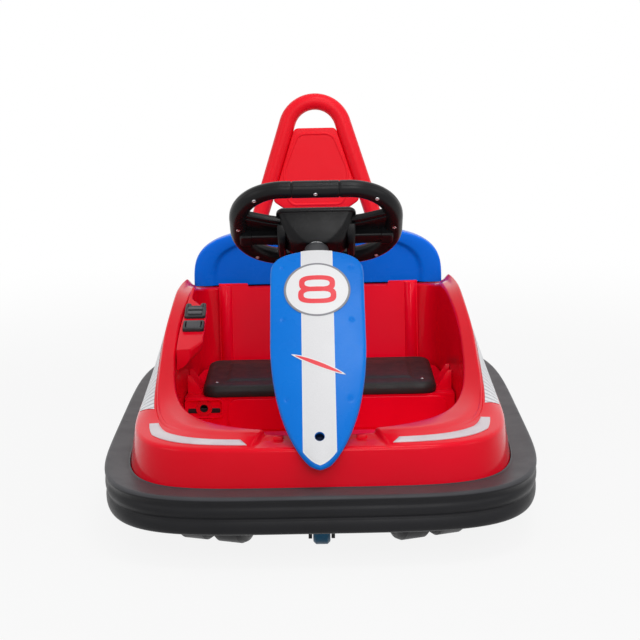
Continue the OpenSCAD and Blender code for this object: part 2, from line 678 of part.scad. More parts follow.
// the console grows out of the right side of the cockpit's edge; its top is one sloping plane
console_y = seat_front_y + 15;
console_mid = 162.5;              // angle of the console's middle on the plan
console_spread = 47;
console_h = 32;
console_w = 40;
console_tilt = 16.5;
function console_z(y) = cockpit_z(console_y) + (y - console_y) * tan(console_tilt);
module in_console() {
    translate([-(cockpit_half_w - 24), console_y, console_z(console_y)]) rotate([console_tilt, 0, 0])
        children();
}
module switch_console() {
    ends = [console_mid - console_spread / 2, console_mid + console_spread / 2];
    color(red) loft([for (phi = between(ends[0], ends[1])) let (
            r = reach(phi, cockpit_ring(phi, 0, 0)) - 1.5, y = along(phi, r),
            w = 6 + (console_w - 6) * smooth(console_y - 121, console_y - 51, y),
            z = console_z(y), zi = console_z(along(phi, r - w)))
        [for (p = [[r, z], [r, z - console_h], [r - 0.6 * w, z - 0.8 * console_h],
            [r - w, zi - 0.4 * console_h], [r - w, zi]]) at(phi, p)]]);
}
panel_w = console_w - 6;
module sound_panel() {
    color(black) in_console() translate([0, 34, 0.1]) slab(panel_w, 48, 6, 5, 2, 3, 2);
}
module drive_switch() {
    color(black) in_console() translate([0, -18, 0.1]) slab(panel_w, 30, 8, 4, 2, 3, 2);
}

// Bumper

// [share of the depth, share of the height] round the bumper's section
bumper_section = [[0.01, 0.02], [0.70, 0.0], [0.90, 0.06], [0.975, 0.2], [0.96, 0.38], [0.87, 0.47],
    [0.93, 0.54], [1.0, 0.68], [0.98, 0.84], [0.88, 0.96], [0.72, 1.0], [0.40, 0.97], [0.01, 0.90]];
function bumper_loop(phi) = let (a = reach(phi, foot_ring) + clear, b = reach(phi, bumper_ring))
    [for (p = bumper_section) at(phi, [a + (b - a) * p[0], bumper_clearance + bumper_height * p[1]])];
module bumper_front() {
    color(black) loft(reversed([for (i = [plan_steps / 2:plan_steps]) bumper_loop(i * 360 / plan_steps)]));
}
module bumper_rear() {
    color(black) loft(reversed([for (i = [0:plan_steps / 2]) bumper_loop(i * 360 / plan_steps
        + (i == 0 ? 0.1 : i == plan_steps / 2 ? -0.1 : 0))]));
}

// Casters and wheels

caster_pin_d = 12;
caster_axle_d = 8;
crown_z = 98;
socket_foot_z = crown_z + 8;
caster_web = 11;
module caster_socket(s) {
    color(steel) translate([s * caster_x, caster_y, 0]) difference() {
        union() {
            translate([0, 0, nose_plate_top - chassis_t - 4]) cylinder(r = 36, h = 4);
            translate([0, 0, socket_foot_z])
                cylinder(r = 22, h = nose_plate_top - chassis_t - socket_foot_z);
        }
        translate([0, 0, socket_foot_z - 1]) cylinder(d = caster_pin_d + 2 * run, h = 8);
    }
}
module caster_socket_left() caster_socket(1);
module caster_socket_right() caster_socket(-1);

module at_caster(s) {
    translate([s * caster_x, caster_y, 0]) rotate([0, 0, s > 0 ? caster_turn_left : caster_turn_right])
        children();
}
module caster_fork(s) {
    color(grey) at_caster(s) difference() {
        union() {
            translate([0, 0, crown_z]) cylinder(r = 26, h = socket_foot_z - crown_z - run);
            translate([0, 0, crown_z]) cylinder(d = caster_pin_d, h = 13);
            rotate([0, 90, 0]) translate([0, 0, -caster_web / 2]) linear_extrude(caster_web) {
                polygon([[-crown_z - 1, -22], [-crown_z - 1, 20], [-caster_r, -caster_trail + 15],
                    [-caster_r + 8, -caster_trail - 12], [-caster_r - 10, -caster_trail - 14]]);
                translate([-caster_r, -caster_trail]) circle(15);
            }
        }
        translate([0, -caster_trail, caster_r]) rotate([0, 90, 0])
            cylinder(d = caster_axle_d + 2 * run, h = caster_w, center = true);
    }
}
module caster_fork_left() caster_fork(1);
module caster_fork_right() caster_fork(-1);

module caster_wheels(s) {
    w = (caster_w - caster_web) / 2 - 0.8;
    bore = caster_axle_d / 2 - 0.1;
    color(black) at_caster(s) translate([0, -caster_trail, caster_r]) rotate([0, 90, 0]) {
        cylinder(d = caster_axle_d, h = caster_w - 10, center = true);
        for (m = [0, 1]) mirror([0, 0, m]) translate([0, 0, caster_web / 2 + 0.8]) rotate_extrude() polygon([
            [bore, 0], [caster_r - 3, 0], [caster_r, 4], [caster_r, w - 9], [caster_r - 3, w - 3],
            [caster_r - 9, w], [caster_r - 13, w], [caster_r - 15, w - 6], [14, w - 6], [12, w - 1],
            [bore, w - 1]]);
    }
}
module caster_wheels_left() caster_wheels(1);
module caster_wheels_right() caster_wheels(-1);

tread_bars = 20;
module drive_wheel(s) {
    half = drive_w / 2;
    bore = axle_d / 2 + run;
    disc_r = drive_r - 20;
    color(black) translate([s * drive_x, drive_y, drive_r]) rotate([0, s * 90, 0]) difference() {
        rotate_extrude() polygon([[bore, -half + 4], [22, -half + 4], [24, -half + 10],
            [disc_r - 2, -half + 10], [disc_r, -half], [drive_r - 6, -half], [drive_r, -half + 6],
            [drive_r, half - 6], [drive_r - 6, half], [disc_r, half],
            [disc_r - 3, half - 9], [26, half - 6], [22, half - 1], [bore, half - 1]]);
        for (i = [0:tread_bars - 1], m = [-1, 1]) rotate([0, 0, (i + (m > 0 ? 0.5 : 0)) * 360 / tread_bars])
            translate([drive_r - 3.5, -3, m > 0 ? 3 : -half - 1]) cube([8, 6, half - 2]);
    }
}
module drive_wheel_left() drive_wheel(1);
module drive_wheel_right() drive_wheel(-1);

module rear_axle() {
    l = 2 * (drive_x + drive_w / 2 + 6);
    color(steel) translate([0, drive_y, drive_r]) rotate([0, 90, 0]) {
        cylinder(d = axle_d, h = l, center = true);
        for (s = [-1, 1]) translate([0, 0, s * (l / 2 - 1)]) cylinder(d = axle_d + 8, h = 5, center = true);
    }
}

gear_in = drive_x - 90;
motor_d = 38;
module gearbox(s) {
    out = drive_x - drive_w / 2 - 4;
    color(grey) difference() {
        union() {
            translate([s > 0 ? gear_in : -out, drive_y - 34, chassis_top]) cube([out - gear_in, 96, 66]);
            translate([s * gear_in, drive_y + motor_d, chassis_top + motor_d]) rotate([0, -s * 90, 0])
                cylinder(d = motor_d, h = 56);
        }
        translate([0, drive_y, drive_r]) rotate([0, 90, 0])
            cylinder(d = axle_d + 0.2, h = beyond, center = true);
    }
}
module gearbox_left() gearbox(1);
module gearbox_right() gearbox(-1);

battery_size = [150, 64, 94];
module battery() {
    color(grey) translate([-battery_size[0] / 2, drive_y - axle_d / 2 - 2 - battery_size[1], chassis_top])
        cube(battery_size);
}

roller_y = caster_y - 50;
roller_w = 24;
roller_pin_r = 4;
roller_z = roller_r + 2;          // the roller only meets the floor when the nose dips
module nose_roller() {
    half = roller_w / 2;
    color(blue) translate([0, roller_y, roller_z]) rotate([0, 90, 0]) rotate_extrude()
        polygon([[roller_pin_r, -half], [roller_r - 4, -half], [roller_r, -half + 4], [roller_r, half - 4],
            [roller_r - 4, half], [roller_pin_r, half]]);
}
module nose_bracket() {
    arm = 5;
    gap = roller_w / 2 + 1.5;
    color(black) {
        translate([0, roller_y, roller_z]) rotate([0, 90, 0])
            cylinder(r = roller_pin_r - run, h = 2 * (gap + arm) + 3, center = true);
        for (s = [0, 1]) mirror([s, 0, 0]) translate([gap, roller_y - 14, roller_z - 10])
            cube([arm, 28, nose_plate_top - chassis_t - roller_z + 10]);
    }
}

pedal_size = [48, 74, 8];
module pedal() {
    tread_w = pedal_size[0] - 4;
    color(black) translate([-92, toe_shelf_y + 34, floor_z]) {
        translate([-pedal_size[0] / 2, 0, 0]) cube(pedal_size);
        translate([-tread_w / 2, 0, 0]) rotate([90, 0, 90]) linear_extrude(tread_w)
            polygon([[4, 2], [pedal_size[1] - 4, 2], [pedal_size[1] - 8, 12], [10, 34], [6, 28]]);
    }
}

chassis();
body_shell();
tub_floor();
seat_box();
seat_back();
seat_pad();
rear_cowl();
headrest_hoop();
headrest_panel();
fairing();
fairing_stripe();
number_disc();
steering_post();
fairing_bracket();
steering_column();
steering_hub();
steering_rim();
switch_console();
sound_panel();
drive_switch();
light_strip_left();
light_strip_right();
side_flash_left();
side_flash_right();
bumper_front();
bumper_rear();
caster_socket_left();
caster_socket_right();
caster_fork_left();
caster_fork_right();
caster_wheels_left();
caster_wheels_right();
drive_wheel_left();
drive_wheel_right();
rear_axle();
gearbox_left();
gearbox_right();
battery();
nose_roller();
nose_bracket();
pedal();
charge_socket();
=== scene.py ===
from math import atan2, cos, hypot, pi, radians, sin, sqrt, tan

import bmesh
import bpy
import numpy as np
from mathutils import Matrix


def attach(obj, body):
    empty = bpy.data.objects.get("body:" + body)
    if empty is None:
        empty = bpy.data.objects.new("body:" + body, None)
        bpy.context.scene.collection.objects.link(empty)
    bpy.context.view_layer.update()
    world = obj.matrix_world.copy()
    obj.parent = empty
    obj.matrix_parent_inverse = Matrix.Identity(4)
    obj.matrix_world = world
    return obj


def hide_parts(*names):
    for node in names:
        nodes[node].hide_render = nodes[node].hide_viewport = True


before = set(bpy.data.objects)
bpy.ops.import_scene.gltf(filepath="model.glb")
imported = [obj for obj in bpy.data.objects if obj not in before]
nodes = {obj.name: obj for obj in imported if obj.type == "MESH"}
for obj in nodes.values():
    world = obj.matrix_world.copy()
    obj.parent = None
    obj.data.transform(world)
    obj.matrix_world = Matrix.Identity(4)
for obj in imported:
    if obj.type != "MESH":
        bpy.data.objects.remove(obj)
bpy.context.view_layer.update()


# Under-tray: one black polypropylene moulding with a spark-eroded grain, ribbed below. It carries the
# swivel sockets, the gearboxes and the tub, and the sealed battery stands on it behind the backrest.

MM = 0.001


class Wire:
    """One output in a material's node tree. Arithmetic on wires and numbers adds Math nodes."""

    def __init__(self, tree, socket):
        self.tree, self.socket = tree, socket

    def node(self, kind, settings=None, inputs=None, out=0):
        """Any node: its settings are set first, then each input's value or wire; gives one output."""
        made = self.tree.nodes.new(kind)
        for key, value in (settings or {}).items():
            setattr(made, key, value)
        for key, value in (inputs or {}).items():
            if isinstance(value, Wire):
                self.tree.links.new(value.socket, made.inputs[key])
            else:
                made.inputs[key].default_value = value
        return Wire(self.tree, made.outputs[out])

    def math(self, operation, other=0.0):
        """One Math node on this wire and another wire or number."""
        return self.node("ShaderNodeMath", {"operation": operation}, {0: self, 1: other})

    def __add__(self, other):
        return self.math("ADD", other)

    def __sub__(self, other):
        return self.math("SUBTRACT", other)

    def __rsub__(self, other):
        return self.node("ShaderNodeMath", {"operation": "SUBTRACT"}, {0: other, 1: self})

    def __mul__(self, other):
        return self.math("MULTIPLY", other)

    def __pow__(self, other):
        return self.math("POWER", other)

    __radd__, __rmul__ = __add__, __mul__

    def step(self, low, high):
        """0 below low, 1 above high and an even S between them."""
        return self.node("ShaderNodeMapRange", {"interpolation_type": "SMOOTHSTEP"},
                         {"Value": self, "From Min": low, "From Max": high})

    def tint(self, low, high):
        """A colour that goes from low to high as this wire goes from 0 to 1."""
        ends = [c if isinstance(c, Wire) else (*c, 1) for c in (low, high)]
        return self.node("ShaderNodeMix", {"data_type": "RGBA"}, {0: self, 6: ends[0], 7: ends[1]}, 2)

    def axis(self, index):
        """One of the three coordinates of a place."""
        return self.node("ShaderNodeSeparateXYZ", None, {0: self}, index)

    def noise(self, scale, detail=2.0, stretch=(1, 1, 1)):
        """Noise of that many grains to the metre, drawn out along an axis where stretch is small."""
        place = self.node("ShaderNodeVectorMath", {"operation": "MULTIPLY"}, {0: self, 1: stretch})
        return self.node("ShaderNodeTexNoise", None, {"Vector": place, "Scale": scale, "Detail": detail})

    def bump(self, depth, strength):
        """The surface normal moved by this height, whose full range stands depth metres high."""
        return self.node("ShaderNodeBump", None, {"Strength": strength, "Distance": depth, "Height": self})


def new_finish(name, **constants):
    """A Principled material; what holds all over goes straight on its sockets, underscores for spaces.
    Gives the material, the piece's own coordinates, and a call that feeds a wire to a socket."""
    finish = bpy.data.materials.new(name)
    finish.use_nodes = True
    tree = finish.node_tree
    shader = next(n for n in tree.nodes if n.type == "BSDF_PRINCIPLED")
    for key, value in constants.items():
        shader.inputs[key.replace("_", " ")].default_value = value
    place = Wire(tree, tree.nodes.new("ShaderNodeTexCoord").outputs["Object"])
    return finish, place, lambda key, wire: tree.links.new(wire.socket, shader.inputs[key])


def moulded(name, low, high, rough, grain, depth, **constants):
    """Moulded plastic: a slow drift from colour low to high, a gloss that wanders between two
    roughnesses where hands and packing rubbed it, and a grain of so many to the metre as bump."""
    finish, place, feed = new_finish(name, **{"Specular_IOR_Level": 0.25, **constants})
    feed("Base Color", place.noise(7, 3).step(0.3, 0.7).tint(low, high))
    rub = place.noise(38, 5).step(0.35, 0.75)
    feed("Roughness", rub * (rough[1] - rough[0]) + rough[0])
    feed("Normal", place.noise(grain).bump(depth, 0.35))
    return finish


def dress(finish, *names, ease=0.0):
    """CAD nodes whose shape is right take a finish; ease joins their triangles and rounds the edges."""
    for name in names:
        nodes[name].data.materials.clear()
        nodes[name].data.materials.append(finish)
        if ease:
            weld = nodes[name].modifiers.new("joined", "WELD")
            weld.merge_threshold = 1e-5
            edge = nodes[name].modifiers.new("eased", "BEVEL")
            edge.width, edge.segments, edge.limit_method = ease * MM, 2, "ANGLE"
            edge.angle_limit, edge.harden_normals = radians(35), True


grained_black = moulded("grained_black", (0.016, 0.016, 0.017), (0.026, 0.026, 0.028), (0.45, 0.62),
                        1400, 0.0003)
dress(grained_black, "chassis", ease=0.8)
case_grey = moulded("case_grey", (0.055, 0.056, 0.06), (0.075, 0.076, 0.08), (0.35, 0.5), 900, 0.0002)
dress(case_grey, "battery", "gearbox_left", "gearbox_right", ease=2.0)


# Running gear: zinc-plated pressed sockets and axle, nylon caster forks, hard blow-moulded plastic wheels.
# The casters swivel on pins in the sockets, the driven wheels turn on the axle, and the roller rides free.

def plated(name):
    """Zinc plate: bright metal with a fine drawn grain, duller in cloudy patches."""
    finish, place, feed = new_finish(name, Metallic=1.0)
    cloud = place.noise(55, 4).step(0.3, 0.75)
    feed("Base Color", cloud.tint((0.62, 0.63, 0.65), (0.46, 0.46, 0.46)))
    feed("Roughness", cloud * 0.16 + 0.27)
    feed("Normal", place.noise(700, 2, (0.08, 1, 1)).bump(0.0001, 0.3))
    return finish


def wheel_plastic(name, axle, tread_from, tread_to):
    """A plastic wheel: black tread, greyer disc inside tread_from metres of its axle line, which runs
    along X through axle = (y, z), and dust that gathers on the tread past tread_to."""
    finish, place, feed = new_finish(name)
    across, upward = place.axis(1) - axle[0], place.axis(2) - axle[1]
    radius = (across * across + upward * upward) ** 0.5
    tread = radius.step(tread_from - 0.001, tread_from + 0.001)
    dust = place.noise(120, 6).step(0.45, 0.75) * radius.step(tread_to - 0.003, tread_to) * 0.35
    feed("Base Color", dust.tint(tread.tint((0.035, 0.035, 0.037), (0.016, 0.016, 0.017)), (0.16, 0.15, 0.14)))
    feed("Roughness", dust * 0.5 + 0.48)
    feed("Normal", place.noise(1100).bump(0.0003, 0.3))
    return finish


zinc = plated("zinc_plate")
dress(zinc, "caster_socket_left", "caster_socket_right", "rear_axle")
fork_nylon = moulded("fork_nylon", (0.020, 0.020, 0.022), (0.030, 0.030, 0.032), (0.38, 0.52), 1200, 0.0002)
dress(fork_nylon, "caster_fork_left", "caster_fork_right", ease=1.0)
drive_plastic = wheel_plastic("drive_plastic", axle=(0.296, 0.072), tread_from=0.050, tread_to=0.071)
dress(drive_plastic, "drive_wheel_left", "drive_wheel_right")
caster_black = moulded("caster_black", (0.014, 0.014, 0.015), (0.024, 0.024, 0.026), (0.38, 0.55), 800, 0.0002)
dress(caster_black, "caster_wheels_left", "caster_wheels_right")
roller_blue = moulded("roller_blue", (0.010, 0.105, 0.21), (0.014, 0.135, 0.26), (0.34, 0.46), 900, 0.0002)
dress(roller_blue, "nose_roller", ease=0.6)
dress(grained_black, "nose_bracket", ease=0.8)


# Bumper: a hollow ring of soft black blow-moulded plastic in two halves that butt at the sides. Its flat
# top rises a little outwards to an edge, and below that two grooves part three rolls all round.

PLAN_Y = -60.0                          # millimetres, as in all shapes below; finishes measure in metres
WALL_FOOT = (286, 355, 475, 5)          # plans: half width, reach to the nose, reach to the tail, power
WALL_SHOULDER = (271, 340, 454, 5)
BUMPER_PLAN = (316, 400, 520, 4.6)
FOOT_Z, SHOULDER_Z = 54.0, 152.0
BUMPER_Z, BUMPER_H, BUMPER_GAP = 46.0, 56.0, 0.6


def reach(phi, half, nose, tail, power, tail_power=None):
    """Distance from the plan's middle to a superellipse at angle phi: (|cos|/half)^n + (|sin|/end)^n = 1
    over r^n, with one end for the nose side and one for the tail."""
    along, across = np.sin(phi), np.abs(np.cos(phi))
    n = np.where(along < 0, power, tail_power or power)
    return ((across / half) ** n + (np.abs(along) / np.where(along < 0, nose, tail)) ** n) ** (-1 / n)


def stacked(*columns):
    """Points from one array for each coordinate, all spread to one shape."""
    return np.stack(np.broadcast_arrays(*columns), -1)


def on_plan(phi, r, z):
    """The point at angle phi, distance r and height z, for arrays that broadcast together."""
    return stacked(r * np.cos(phi), PLAN_Y + r * np.sin(phi), z)


def through(points, count, closed=False):
    """Smooth curve through points: each span is the cubic whose end slopes are half the chord of the
    two neighbours, cut into count parts. Points are rows, and any number of columns is carried."""
    p = np.asarray(points, float)
    first, last = (p[-1:], p[:2]) if closed else (2 * p[:1] - p[1:2], 2 * p[-1:] - p[-2:-1])
    p = np.vstack([first, p, last])[:, None]
    a, b, slope = p[1:-2], p[2:-1], (p[2:] - p[:-2]) / 2
    t = np.linspace(0, 1, count, endpoint=False)[None, :, None]
    curve = ((2 * t**3 - 3 * t**2 + 1) * a + (t**3 - 2 * t**2 + t) * slope[:-1]
             + (3 * t**2 - 2 * t**3) * b + (t**3 - t**2) * slope[1:]).reshape(-1, p.shape[-1])
    return curve if closed else np.vstack([curve, p[-2]])


def loft(loops, ring=False):
    """Points, quads and end faces through a row of closed loops (rows x points x 3): quads between
    neighbours; the row closes on itself if ring is true, and otherwise one face closes each end."""
    loops = np.asarray(loops, float)
    index = np.arange(loops.shape[0] * loops.shape[1]).reshape(loops.shape[:2])
    a, b = (index, np.roll(index, -1, 0)) if ring else (index[:-1], index[1:])
    quads = np.stack([a, np.roll(a, -1, 1), np.roll(b, -1, 1), b], -1).reshape(-1, 4)
    ends = index[:0] if ring else np.stack([index[0, ::-1], index[-1]])
    return loops.reshape(-1, 3), quads, ends


def new_mesh(name, shapes):
    """One mesh from lofted shapes in millimetres; each one's faces count on from the points before it."""
    first = np.cumsum([0] + [len(points) for points, *_ in shapes])
    faces = [(kind + start).tolist() for (_, *kinds), start in zip(shapes, first) for kind in kinds]
    mesh = bpy.data.meshes.new(name)
    mesh.from_pydata((np.vstack([points for points, *_ in shapes]) * MM).tolist(), [], sum(faces, []))
    return mesh


def placed(name, data):
    """A new object in the scene, at the origin."""
    made = bpy.data.objects.new(name, data)
    bpy.context.scene.collection.objects.link(made)
    return made


def piece(name, shapes, finish, slot, *stands_for, body="kart", crease=38):
    """One object from lofted shapes: doubles merged, faces turned outwards, edges sharper than crease
    degrees kept crisp; it rides on a body and stands for CAD nodes."""
    mesh = new_mesh(name, shapes)
    work = bmesh.new()
    work.from_mesh(mesh)
    bmesh.ops.remove_doubles(work, verts=work.verts, dist=2e-6)
    bmesh.ops.dissolve_degenerate(work, edges=work.edges, dist=1e-6)
    bmesh.ops.recalc_face_normals(work, faces=work.faces)
    work.to_mesh(mesh)
    work.free()
    mesh.shade_smooth()
    mesh.set_sharp_from_angle(angle=radians(crease))
    mesh.materials.append(finish)
    made = placed(name, mesh)
    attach(made, body)
    if stands_for:
        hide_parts(*stands_for)
    return made


def bumper_half(start, end):
    """The section's share of depth and height, a smooth closed curve, carried round the plan between the
    wall of the body, which leans in as it rises, and the outer ring."""
    section = through([
        (0.01, 0.03), (0.40, 0.0), (0.72, 0.01), (0.88, 0.055), (0.955, 0.15), (0.972, 0.27), (0.94, 0.37),
        (0.895, 0.435), (0.94, 0.50), (0.988, 0.59), (0.985, 0.675), (0.945, 0.755), (0.958, 0.83), (0.996, 0.90),
        (0.985, 0.962), (0.92, 0.994), (0.84, 0.997), (0.55, 0.975), (0.30, 0.957), (0.08, 0.941), (0.01, 0.915),
        (0.0, 0.45)], 6, True)
    phi = np.radians(np.linspace(start, end, 301))[:, None]
    z = BUMPER_Z + BUMPER_H * np.clip(section[:, 1], 0, 1)
    lean = np.clip((z - FOOT_Z) / (SHOULDER_Z - FOOT_Z), 0, 1)
    inner = reach(phi, *WALL_FOOT) * (1 - lean) + reach(phi, *WALL_SHOULDER) * lean + BUMPER_GAP
    r = inner + (reach(phi, *BUMPER_PLAN) - inner) * np.clip(section[:, 0], 0.005, 1)
    return loft(on_plan(phi, r, z))


def bumper_plastic():
    """Satin black: a fine pebble grain, a slow drift of gloss, sparse pale scuffs along the ring, and a
    grey painted sheen on the flat top and its outer edge, standing in for the overhead light's highlight."""
    finish, place, feed = new_finish("bumper_satin", Specular_IOR_Level=0.12)
    scuff = place.noise(420, 3, (0.25, 0.25, 1)).step(0.70, 0.80) * place.noise(9).step(0.5, 0.7)
    base = place.noise(6, 3).step(0.3, 0.7).tint((0.014, 0.014, 0.0155), (0.019, 0.019, 0.021))
    # Painted sheen: the ledge top and its outer edge lightened to grey, standing in for the overhead light's
    # highlight.
    painted_sheen = place.axis(2).step(0.0972, 0.0992) * (place.noise(14, 4).step(0.2, 0.8) * 0.3 + 0.7)
    feed("Base Color", (scuff * 0.35).tint(painted_sheen.tint(base, (0.060, 0.060, 0.066)), (0.07, 0.07, 0.074)))
    feed("Roughness", place.noise(30, 5).step(0.3, 0.8) * 0.08 + scuff * 0.1 + 0.37)
    feed("Normal", place.noise(1500).bump(0.0003, 0.25))
    return finish


bumper_satin = bumper_plastic()
piece("bumper_front_ring", [bumper_half(180, 360)], bumper_satin, "black_bumper", "bumper_front", crease=60)
piece("bumper_rear_ring", [bumper_half(0.1, 179.9)], bumper_satin, "black_bumper", "bumper_rear", crease=60)


# Body: one glossy red injection moulding, the outer wall, its sloping shoulder, the coaming that climbs to
# the backrest and the tub wall inside. It drops over the tray and is screwed to it from below.

COAMING_PLAN = (240, 304, 391, 4, 5)    # the last two are the powers at the nose and at the tail
COAMING_Z, COAMING_RISE, CLIMB_Y = 160.0, 118.0, -300.0
EDGE_HALF, EDGE_NOSE, EDGE_TAIL, TAIL_NARROWS = 222.0, 285.0, 288.0, 27.9
BACKREST_Y, TOE_Y, TOE_Z, TUB_Z = 212.0, -224.0, 126.0, 66.0
POCKET_DROP, POCKET_SIDE = 7.0, np.radians([15.1, 16.1])
SHELL_WALL = 4.0


def smooth(a, b, x):
    """0 below a, 1 above b and t*t*(3 - 2t) between."""
    t = np.clip((x - a) / (b - a), 0, 1)
    return t * t * (3 - 2 * t)


def cockpit(phi, draft=0.0, tail_draft=0.0):
    """Reach of the cockpit's edge: an egg-shaped nose, and a square tail that narrows to the backrest."""
    half = EDGE_HALF - draft - np.where(np.sin(phi) < 0, 0, TAIL_NARROWS * np.sin(phi) ** 2)
    return reach(phi, half, EDGE_NOSE - draft, EDGE_TAIL - tail_draft, 2.6, 14)


def coaming_z(y):
    """Height of the coaming: it climbs from the nose to the backrest and drops to the deck behind it."""
    return COAMING_Z + COAMING_RISE * smooth(CLIMB_Y, 130, y) - 20 * smooth(BACKREST_Y, BACKREST_Y + 50, y)


def cockpit_z(y):
    """Height of the cockpit's edge, a little under the coaming."""
    return coaming_z(np.minimum(y, BACKREST_Y)) + 3 - 10 * smooth(CLIMB_Y, -150, y) - 12 * smooth(150, 225, y)


def shell_rings(phi):
    """(angles x 6 x [radius, height]): foot, shoulder, coaming, sill of the deck, cockpit edge, tub foot.
    The coaming and the edge drop together across the nose pocket."""
    edge, tub = cockpit(phi), cockpit(phi, 4, 24)
    waist = 12 * np.abs(np.cos(phi)) * smooth(0, 0.8, np.sin(phi))
    lip = np.maximum(reach(phi, *COAMING_PLAN) - waist, edge + 10)
    lip_y, edge_y, tub_y = (PLAN_Y + r * np.sin(phi) for r in (lip, edge, tub))
    pocket = POCKET_DROP * (1 - smooth(*POCKET_SIDE, np.abs(phi - 1.5 * pi)))
    lip_z, edge_z = coaming_z(lip_y) - pocket, cockpit_z(edge_y) - pocket
    deck = smooth(20, 40, lip - edge)
    sill, sill_z = np.maximum((edge + lip) / 2, lip - 14), edge_z + (1 - deck) * (lip_z - edge_z) / 2
    rings = [(reach(phi, *WALL_FOOT), FOOT_Z), (reach(phi, *WALL_SHOULDER), SHOULDER_Z), (lip, lip_z),
             (sill, sill_z), (edge, edge_z), (tub, np.where(tub_y < TOE_Y, TOE_Z, TUB_Z))]
    return np.stack([stacked(*ring) for ring in rings], 1)


def unit(v):
    """Vectors brought to a length of 1."""
    return v / np.linalg.norm(v, axis=-1, keepdims=True)


def turn(count):
    """Angles spaced evenly round a full turn."""
    return np.linspace(0, 2 * pi, count, endpoint=False)


def up_wall(rings, share, lift):
    """Points (radius, height) a share of the way from shoulder to coaming, lifted square off the wall."""
    side = rings[:, 2] - rings[:, 1]
    return rings[:, 1] + share * side + lift * unit(stacked(side[:, 1], -side[:, 0]))


def filleted(corners, cuts, runs, bend=8):
    """Lines through corners (rows x corners x 2), each corner with a cut replaced by the quadratic curve
    that leaves and meets its sides that far from it; runs gives the parts of each straight side."""
    spans = []
    t = np.linspace(0, 1, bend)[None, :, None]
    for i, limit in enumerate(cuts):
        b = corners[:, i]
        if limit:
            a, c = corners[:, i - 1], corners[:, i + 1]
            room = 0.45 * np.minimum(np.linalg.norm(a - b, axis=1), np.linalg.norm(c - b, axis=1))[:, None]
            cut = np.minimum(limit, room)
            enter, leave = b + cut * unit(a - b), b + cut * unit(c - b)
            spans.append((1 - t) ** 2 * enter[:, None] + 2 * t * (1 - t) * b[:, None] + t**2 * leave[:, None])
        else:
            spans.append(b[:, None])
    line = [spans[0]]
    for here, there, parts in zip(spans, spans[1:], runs):
        u = np.linspace(0, 1, parts + 1)[1:-1][None, :, None]
        line += [here[:, -1:] * (1 - u) + there[:, :1] * u, there]
    return np.concatenate(line, 1)


def moved(line, t):
    """Lines (rows x points x 2) moved to their left by t, mitred at the corners."""
    d = unit(line[:, 1:] - line[:, :-1])
    side = stacked(-d[..., 1], d[..., 0])
    a, b = np.concatenate([side[:, :1], side], 1), np.concatenate([side, side[:, -1:]], 1)
    return line + t * (a + b) / (1 + (a * b).sum(-1, keepdims=True))


def body_skin():
    """The section through the rings, rounded at shoulder, coaming and edge, with a shallow parting groove
    under the coaming's roll that fades out at the nose, turned round the plan with one wall thickness."""
    pocket_sides = 270 + np.array([-16.2, -15.6, -15, 15, 15.6, 16.2])
    phi = np.unique(np.concatenate([turn(640), np.radians(pocket_sides)]))
    k = shell_rings(phi)
    fade = smooth(-330, -230, PLAN_Y + k[:, 2, 0] * np.sin(phi))[:, None]
    groove = [up_wall(k, share, lift * fade) for share, lift in
              ((0.84, 0.0), (0.87, -1.6), (0.90, 1.6), (0.97, 1.8))]
    corners = np.stack([k[:, 0], k[:, 1], *groove, k[:, 2], k[:, 3], k[:, 4], k[:, 5]], 1)
    outer = filleted(corners, [0, 6, 1.5, 1, 2, 1.5, 6, 5, 4, 0], [8, 12, 1, 1, 2, 1, 3, 3, 10])
    line = np.concatenate([outer, moved(k, SHELL_WALL)[:, ::-1]], 1)
    return loft(on_plan(phi[:, None], line[..., 0], line[..., 1]), ring=True)


def gloss_plastic(name, low, high, rough):
    """Glossy moulding: a slow drift of colour, handling haze in the gloss, a faint orange peel, and
    hairline rub marks that only show in the highlights."""
    finish, place, feed = new_finish(name, IOR=1.42, Specular_IOR_Level=0.16)
    hair = place.noise(900, 2, (0.05, 1, 1)).step(0.66, 0.72) * place.noise(12).step(0.45, 0.7)
    feed("Base Color", place.noise(5, 3).step(0.3, 0.7).tint(low, high))
    feed("Roughness", place.noise(26, 5).step(0.3, 0.8) * (rough[1] - rough[0]) + hair * 0.12 + rough[0])
    feed("Normal", place.noise(240).bump(0.0004, 0.05))
    return finish


gloss_red = gloss_plastic("gloss_red", (0.72, 0.001, 0.012), (0.79, 0.0015, 0.017), (0.13, 0.21))
piece("body_skin", [body_skin()], gloss_red, "red_shell", "body_shell", crease=50)


# Tub floor, seat box and backrest: red mouldings inside the body, glued and screwed to the tray. The box
# front has a round-ended panel and a framed charging socket, and fins stiffen it beside the belt slots.

SEAT_Z, BOX_FRONT_Y = 125.0, -12.0
SOCKET_X, SOCKET_Z = -186.0, 108.0
# A lighter copy of the body's red for the tub, seat box, backrest, fins and seat front: painted light that
# brightens the red where the cockpit lies in shade.
tub_red_painted_light = gloss_plastic("tub_red_painted_light", (0.90, 0.0015, 0.020), (0.95, 0.002, 0.026), (0.16, 0.24))
dress(tub_red_painted_light, "tub_floor", "seat_box", ease=1.5)
dress(tub_red_painted_light, "seat_back", ease=1.2)


def wedge(x, y, side):
    """A fin: a slanted plate 3 mm thick with eased faces, standing on the seat box by the tub's wall."""
    corners = np.array([[0, 0.2], [26, 0.2], [26, 32], [20, 32]]) * [side, 1]
    loop = filleted(corners[None], [0] * 4, [2] * 3)[0]
    return loft([stacked(x + loop[:, 0] * s, y + d, SEAT_Z + loop[:, 1] * s)
                 for d, s in ((0, 0.98), (0.5, 1.0), (2.5, 1.0), (3, 0.98))])


def round_rect(w, h, r, steps):
    """Rounded rectangle w by h with corner radius r, as one loop with steps points on each quarter circle."""
    a = np.linspace(0, pi / 2, steps)
    quarter = [stacked(x * (w / 2 - r) + r * np.cos(a + t), y * (h / 2 - r) + r * np.sin(a + t))
               for x, y, t in ((1, 1, 0), (-1, 1, pi / 2), (-1, -1, pi), (1, -1, 1.5 * pi))]
    return np.concatenate(quarter)


